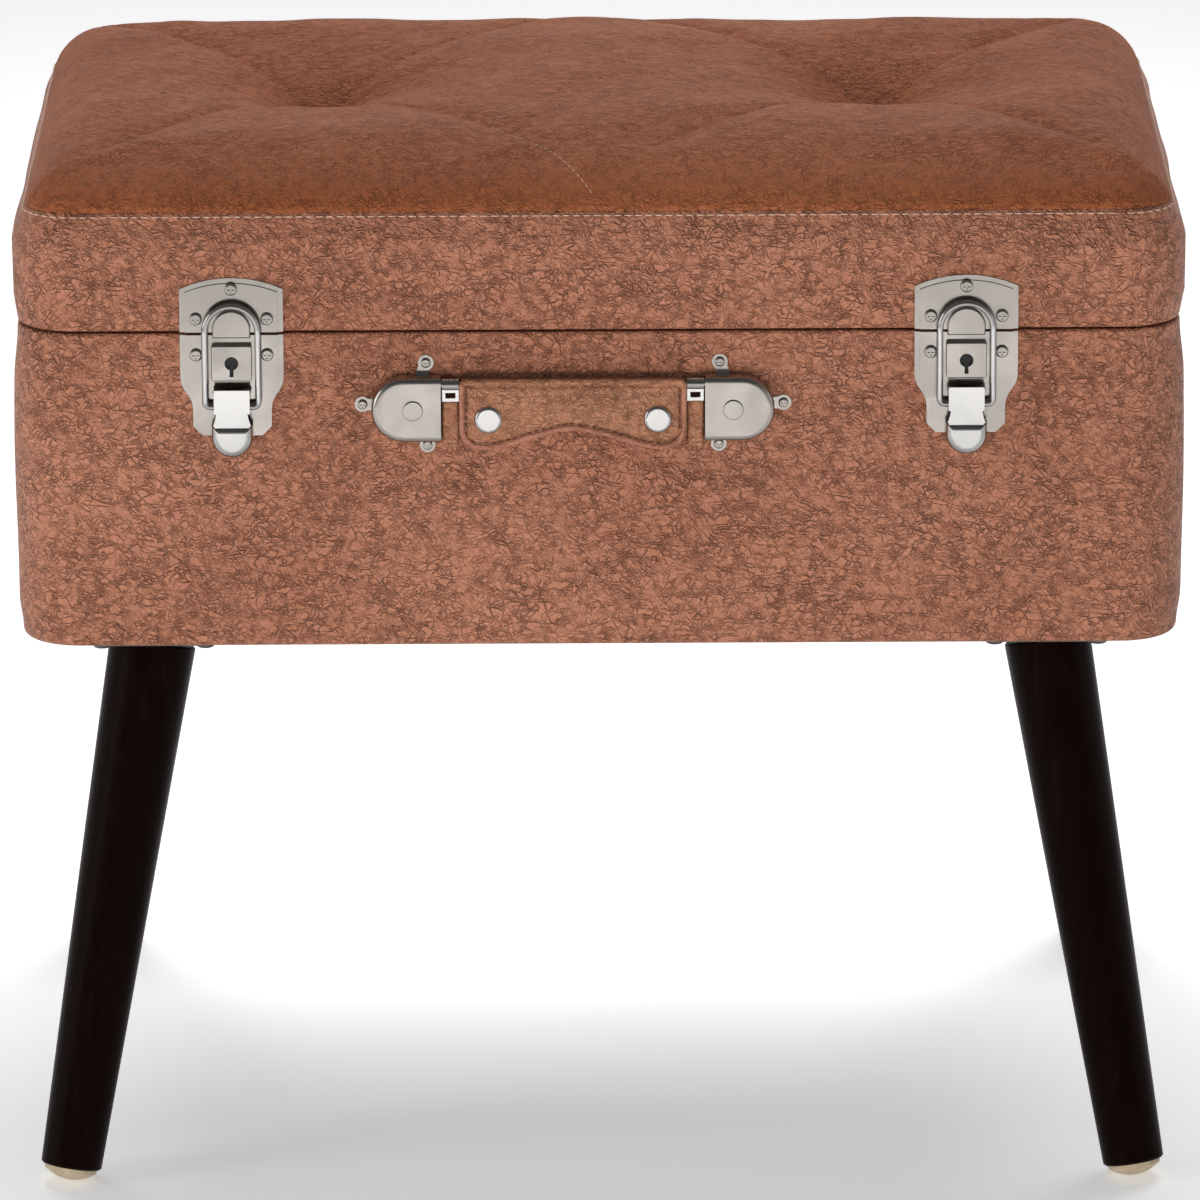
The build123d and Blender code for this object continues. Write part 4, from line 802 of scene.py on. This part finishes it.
# ------------------------------------------------------------------ handle
HANDLE_LOW, HANDLE_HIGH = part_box("handle_grip_front")
GRIP_X = (HANDLE_LOW.x + HANDLE_HIGH.x) / 2
GRIP_HALF = (HANDLE_HIGH.x - HANDLE_LOW.x) / 2
GRIP_TOP, GRIP_FOOT = HANDLE_HIGH.z, HANDLE_LOW.z
GRIP_FRONT_Y, GRIP_BACK_Y = HANDLE_LOW.y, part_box("handle_grip_back")[1].y
GRIP_END_ROUND = 8.5 * MM
GRIP_HEAD_ROUND = 3 * MM
STITCH_INSET = 3 * MM


def grip_foot(x):
    """Height of the grip's lower edge: two lobes, a shallow rise between them and round ends."""
    w = np.abs(x)
    rise = np.clip(1 - np.sqrt(w * w + (5 * MM) ** 2) / (36 * MM), 0, 1)
    waist = 9.6 * MM * rise * (0.6 + 0.4 * smoothstep(rise * 2.2))
    end = np.clip((w - (GRIP_HALF - GRIP_END_ROUND)) / GRIP_END_ROUND, 0, 1)
    return GRIP_FOOT + waist + GRIP_END_ROUND * (1 - np.sqrt(np.maximum(1 - end**2, 0)))


def grip_head(x):
    end = np.clip((np.abs(x) - (GRIP_HALF - GRIP_HEAD_ROUND)) / GRIP_HEAD_ROUND, 0, 1)
    return GRIP_TOP - GRIP_HEAD_ROUND * (1 - np.sqrt(np.maximum(1 - end**2, 0)))


def outline_distance(x, z):
    """Distance from each point of the grip's face to its outline."""
    s = np.sin(np.linspace(-math.pi / 2, math.pi / 2, 400)) * GRIP_HALF
    end_z = np.linspace(GRIP_FOOT + GRIP_END_ROUND, GRIP_TOP - GRIP_HEAD_ROUND, 60)
    edge = np.concatenate([np.stack([s, grip_foot(s)], 1), np.stack([s, grip_head(s)], 1),
                           np.stack([np.full(60, GRIP_HALF), end_z], 1),
                           np.stack([np.full(60, -GRIP_HALF), end_z], 1)])
    flat = np.stack([x.reshape(-1), z.reshape(-1)], 1)
    best = np.full(len(flat), 1.0)
    for chunk in np.array_split(edge, 12):
        best = np.minimum(best, np.sqrt(((flat[:, None, :] - chunk[None]) ** 2).sum(-1)).min(1))
    return best.reshape(x.shape)


def build_grip():
    columns, rows = 190, 62
    s = np.sin(np.linspace(-math.pi / 2, math.pi / 2, columns)) * (GRIP_HALF - 0.02 * MM)
    t = (1 - np.cos(np.linspace(0, math.pi, rows))) / 2
    x = np.repeat(s[:, None], rows, 1)
    z = grip_foot(s)[:, None] * (1 - t) + grip_head(s)[:, None] * t
    d = outline_distance(x, z)
    rim = 1.25 * MM * np.sqrt(np.clip(1 - ((d - 1.25 * MM) / (1.25 * MM)) ** 2, 0, 1))
    panel = smoothstep((d - 2.6 * MM) / (1.6 * MM)) * 1.1 * MM \
        + smoothstep((d - 4 * MM) / (9 * MM)) * 0.7 * MM
    creases = 0.12 * MM * wave(x, z, 21, 9 * MM) * smoothstep((d - 4 * MM) / (6 * MM))
    front = GRIP_FRONT_Y + 1.5 * MM - np.maximum(rim, panel) - creases
    back = GRIP_BACK_Y - 1.2 * MM + 1.1 * MM * smoothstep(d / (2.5 * MM))
    verts = list(np.stack([x + GRIP_X, front, z], -1).reshape(-1, 3)) \
        + list(np.stack([x + GRIP_X, back, z], -1).reshape(-1, 3))
    base = columns * rows
    faces = []
    for a, b, c, e in grid_faces(columns, rows):
        faces.append((a, b, c, e))
        faces.append((base + a, base + e, base + c, base + b))
    rim_ids = grid_rim(columns, rows)
    for k, a in enumerate(rim_ids):
        b = rim_ids[(k + 1) % len(rim_ids)]
        faces.append((a, base + a, base + b, b))
    return mesh_object("handle_grip_leather", verts, faces)


grip = build_grip()
finish_piece(grip, "handle", LEATHER_FINE, ("handle_grip_front", "handle_grip_back"))


def grip_stitches():
    """The line of stitches down both ends and along the foot of the grip, and its outward direction."""
    half = GRIP_HALF - STITCH_INSET
    s = np.sin(np.linspace(-math.pi / 2, math.pi / 2, 260)) * half
    scale = half / GRIP_HALF
    path = [(GRIP_X - half, GRIP_TOP - 2 * MM)]
    path += [(GRIP_X + q, float(grip_foot(np.array([q / scale]))[0]) + STITCH_INSET) for q in s]
    path += [(GRIP_X + half, GRIP_TOP - 2 * MM)]
    y = GRIP_FRONT_Y + 0.95 * MM
    points = [(x, y, z) for x, z in path]
    return points, [(0, -1, 0)] * len(points)


grip_path, grip_out = grip_stitches()
# Real stitching along the grip's groove, darkened as painted shade of that groove.
grip_thread = stitch_run("handle_grip_stitches", grip_path, grip_out, 2.2 * MM, 0.9 * MM, 0.24 * MM, 0.1 * MM)
finish_piece(grip_thread, "handle", THREAD_GROOVE_SHADE)


def grip_edge():
    """The rounded binding down both ends and along the foot of the grip."""
    inset = 1.15 * MM
    s = np.sin(np.linspace(-math.pi / 2, math.pi / 2, 240)) * (GRIP_HALF - inset)
    scale = (GRIP_HALF - inset) / GRIP_HALF
    path = [(GRIP_X - (GRIP_HALF - inset), GRIP_TOP - 1.5 * MM - k * 1.5 * MM) for k in range(14)]
    foot = [(GRIP_X + q, float(grip_foot(np.array([q / scale]))[0]) + inset) for q in s]
    path += [p for p in foot if p[1] < path[-1][1] or abs(p[0] - GRIP_X) < GRIP_HALF - 2 * MM]
    path += [(GRIP_X + (GRIP_HALF - inset), GRIP_TOP - 1.5 * MM - k * 1.5 * MM) for k in range(13, -1, -1)]
    return [(x, GRIP_FRONT_Y + 1.0 * MM, z) for x, z in path]


edge_binding = tube("handle_edge_binding", [grip_edge()], 1.15 * MM)
finish_piece(edge_binding, "handle", LEATHER_EDGE)


def build_straps():
    """The two folded leather tabs between the loops and the grip, with a sewn hem at the foot."""
    low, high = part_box("handle_straps")
    width = 7.0 * MM
    verts, faces = [], []
    for x0 in (low.x, high.x - width):
        x1 = x0 + width
        rows, columns = 40, 12
        base = len(verts)
        for side in (0, 1):
            for i in range(columns + 1):
                for j in range(rows + 1):
                    u, t = i / columns, j / rows
                    z = low.z + (high.z - low.z) * t
                    hem = 0.5 * MM * smoothstep((4.2 * MM - (z - low.z)) / (0.8 * MM))
                    groove = 0.4 * MM * math.exp(-(((z - low.z) - 2.2 * MM) / (0.4 * MM)) ** 2)
                    round_edge = 1 - max(0.0, abs(2 * u - 1) - 0.7) / 0.3
                    bulge = 0.9 * MM * math.sqrt(max(round_edge, 0)) if abs(2 * u - 1) > 0.7 else 0.9 * MM
                    ends = math.sqrt(max(0.0, min(1.0, t / 0.04, (1 - t) / 0.04)))
                    middle = (low.y + high.y) / 2
                    out = (0.2 * MM + bulge * ends + float(hem) - groove)
                    verts.append((x0 + (x1 - x0) * u, middle - out if side == 0 else middle + out, z))
        step = (columns + 1) * (rows + 1)
        for quad in grid_faces(columns + 1, rows + 1):
            a, b, c, d = (base + k for k in quad)
            faces.append((a, b, c, d))
            faces.append((a + step, d + step, c + step, b + step))
        edge = [base + k for k in grid_rim(columns + 1, rows + 1)]
        for k, a in enumerate(edge):
            b = edge[(k + 1) % len(edge)]
            faces.append((a, a + step, b + step, b))
    return mesh_object("handle_strap_leather", verts, faces)


straps = build_straps()
finish_piece(straps, "handle", LEATHER_FINE, ("handle_straps",))


# ------------------------------------------------------------------ painted shade in the keyholes: dark discs behind the lock boxes' faces
KEYHOLE_Z = 358.95 * MM
KEYHOLE_RADIUS = 2.85 * MM
KEYHOLE_SHADE_Y = -HALF_Y - 2.75 * MM


def keyhole(name, x):
    """A dark disc and a slot below it, just behind the lock box's face: painted shade for the hole's dark inside.
    """
    ring = [(x + KEYHOLE_RADIUS * math.cos(a), KEYHOLE_SHADE_Y, KEYHOLE_Z + KEYHOLE_RADIUS * math.sin(a))
            for a in np.linspace(0, 2 * math.pi, 33)[:-1]]
    slot = [(x + sx * 0.8 * MM, KEYHOLE_SHADE_Y - 0.02 * MM, KEYHOLE_Z + z * MM) for sx, z in
            ((-1, -5.6), (1, -5.6), (1, 0), (-1, 0))]
    return mesh_object(name, ring + slot, [tuple(range(31, -1, -1)), (32, 33, 34, 35)], False)


# Near-black: painted shade for the inside of the keyholes.
KEYHOLE_SHADE = moulded("keyhole_painted_shade", (0.004, 0.004, 0.004), (0.012, 0.011, 0.010))
for side, label in ((-1, "left"), (1, "right")):
    finish_piece(keyhole(f"keyhole_shade_{label}", side * LATCH_X), "case", KEYHOLE_SHADE)

# ------------------------------------------------------------------ linings
def cloth_tray(name, node, open_up, skin):
    """A cloth lining inside a box: outer and inner faces of the CAD lining, with slack in the cloth."""
    low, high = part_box(node)
    notch = 12.5 * MM
    half_x, half_y = high.x, high.y

    def ring(inset, z):
        a, b, n = half_x - inset, half_y - inset, notch
        corners = [(a - n, -b), (a - n, -b + n), (a, -b + n), (a, b - n), (a - n, b - n), (a - n, b),
                   (-a + n, b), (-a + n, b - n), (-a, b - n), (-a, -b + n), (-a + n, -b + n), (-a + n, -b)]
        out = []
        for k, (x0, y0) in enumerate(corners):
            x1, y1 = corners[(k + 1) % len(corners)]
            count = max(2, int(math.hypot(x1 - x0, y1 - y0) / (10 * MM)))
            for q in range(count):
                out.append((x0 + (x1 - x0) * q / count, y0 + (y1 - y0) * q / count, z))
        return out

    floor_z, rim_z = (low.z, high.z) if open_up else (high.z, low.z)
    inward = skin if open_up else -skin
    heights = [rim_z + (floor_z + inward - rim_z) * k / 12 for k in range(13)]
    rings = [ring(0.05 * MM, floor_z + inward * 0.1), ring(0.05 * MM, rim_z)]
    rings += [ring(skin, z) for z in heights]
    count = len(rings[0])
    verts = np.array([p for one in rings for p in one])
    ripple = 0.22 * MM * wave(verts[:, 0] + verts[:, 1], verts[:, 2], 31, 60 * MM)
    verts[2 * count:, 0] -= np.sign(verts[2 * count:, 0]) * np.abs(ripple[2 * count:])
    verts[2 * count:, 1] -= np.sign(verts[2 * count:, 1]) * np.abs(ripple[2 * count:])
    faces = []
    for level in range(len(rings) - 1):
        for k in range(count):
            n = (k + 1) % count
            a, b = level * count + k, level * count + n
            quad = (a, b, b + count, a + count)
            faces.append(quad if open_up else tuple(reversed(quad)))
    last = (len(rings) - 1) * count
    floor = tuple(last + k for k in range(count))
    under = tuple(range(count))
    faces.append(floor if open_up else tuple(reversed(floor)))
    faces.append(tuple(reversed(under)) if open_up else under)
    return mesh_object(name, [tuple(v) for v in verts], faces, smooth=False)


case_lining = cloth_tray("case_lining_cloth", "case_lining", True, SKIN)
finish_piece(case_lining, "case", LINING, ("case_lining",))
lid_lining = cloth_tray("lid_lining_cloth", "lid_lining", False, SKIN)
finish_piece(lid_lining, "lid", LINING, ("lid_lining",))

# ------------------------------------------------------------------ floor, light and camera
FLOOR_HALF = 30
floor_corners = [(x * FLOOR_HALF, y * FLOOR_HALF, 0) for x, y in ((-1, -1), (1, -1), (1, 1), (-1, 1))]
floor = mesh_object("studio_floor", floor_corners, [(0, 1, 2, 3)], False)
floor_material, _, _, shader, _ = new_material("studio_floor")
shader.inputs["Base Color"].default_value = (0.93, 0.93, 0.93, 1)
shader.inputs["Roughness"].default_value = 0.7
shader.inputs["Specular IOR Level"].default_value = 0.2
shader.inputs["Emission Color"].default_value = (1, 1, 1, 1)
shader.inputs["Emission Strength"].default_value = 0.3
floor.data.materials.append(floor_material)

world = bpy.data.worlds.new("studio")
bpy.context.scene.world = world
world.use_nodes = True
nodes, links = world.node_tree.nodes, world.node_tree.links
sky = nodes.new("ShaderNodeTexCoord").outputs["Generated"]
split = nodes.new("ShaderNodeSeparateXYZ")
links.new(sky, split.inputs[0])
shades = nodes.new("ShaderNodeValToRGB")
stops = [(0.0, 1.1), (0.16, 1.1), (0.34, 0.5), (0.6, 0.24), (1.0, 0.16)]
while len(shades.color_ramp.elements) < len(stops):
    shades.color_ramp.elements.new(0.5)
for element, (position, level) in zip(shades.color_ramp.elements, stops):
    element.position = position
    element.color = (level, level, level, 1)
links.new(split.outputs["Z"], shades.inputs["Fac"])
from_front = math_node(nodes, links, "MULTIPLY_ADD", split.outputs["Y"], 0.5)
from_front.node.inputs[2].default_value = 0.5
front_shade = ramp(nodes, links, from_front, [(0.0, (0.25,) * 3), (0.2, (0.5,) * 3), (0.4, (1, 1, 1))])
dimmed = mix_colour(nodes, links, "MULTIPLY", 1.0, shades.outputs["Color"], front_shade)
links.new(dimmed, nodes["Background"].inputs["Color"])
nodes["Background"].inputs["Strength"].default_value = 1.0


def area_light(name, place, target, size, power, mirrored=True):
    data = bpy.data.lights.new(name, "AREA")
    data.shape = "RECTANGLE"
    data.size, data.size_y = size
    data.energy = power
    obj = bpy.data.objects.new(name, data)
    bpy.context.scene.collection.objects.link(obj)
    obj.location = place
    obj.visible_camera = False
    obj.visible_glossy = mirrored
    obj.rotation_mode = "QUATERNION"
    obj.rotation_quaternion = (Vector(target) - Vector(place)).to_track_quat("-Z", "Y")


area_light("front_low_softbox", (-0.2, -1.65, 0.19), (0, 0, 0.38), (2.2, 0.28), 14.5, False)
area_light("back_softbox", (0.1, 1.3, 2.1), (0, 0, 0.3), (2.0, 1.2), 42)
area_light("left_softbox", (-2.2, -0.9, 0.8), (0, 0, 0.35), (0.8, 1.2), 9)

ELEVATION = math.radians(16.0)
AZIMUTH = math.radians(-0.1)
ROLL = math.radians(0.24)
CAMERA_DISTANCE = 4.1
SCALE_PX_PER_M = 2367.4
FRAME_PX = 1200
target = Vector((0.0, -HALF_Y, 0.2538))
back = Vector((math.sin(AZIMUTH) * math.cos(ELEVATION), -math.cos(AZIMUTH) * math.cos(ELEVATION),
               math.sin(ELEVATION)))
camera_data = bpy.data.cameras.new("camera")
camera_data.sensor_width = 36.0
camera_data.lens = SCALE_PX_PER_M * CAMERA_DISTANCE * camera_data.sensor_width / FRAME_PX
camera = bpy.data.objects.new("camera", camera_data)
bpy.context.scene.collection.objects.link(camera)
camera.location = target + back * CAMERA_DISTANCE
camera.rotation_mode = "QUATERNION"
camera.rotation_quaternion = (-back).to_track_quat("-Z", "Y") @ Quaternion((0, 0, 1), -ROLL)
camera_data.clip_start, camera_data.clip_end = 0.1, 100
bpy.context.scene.camera = camera
bpy.context.scene.view_settings.view_transform = "Standard"
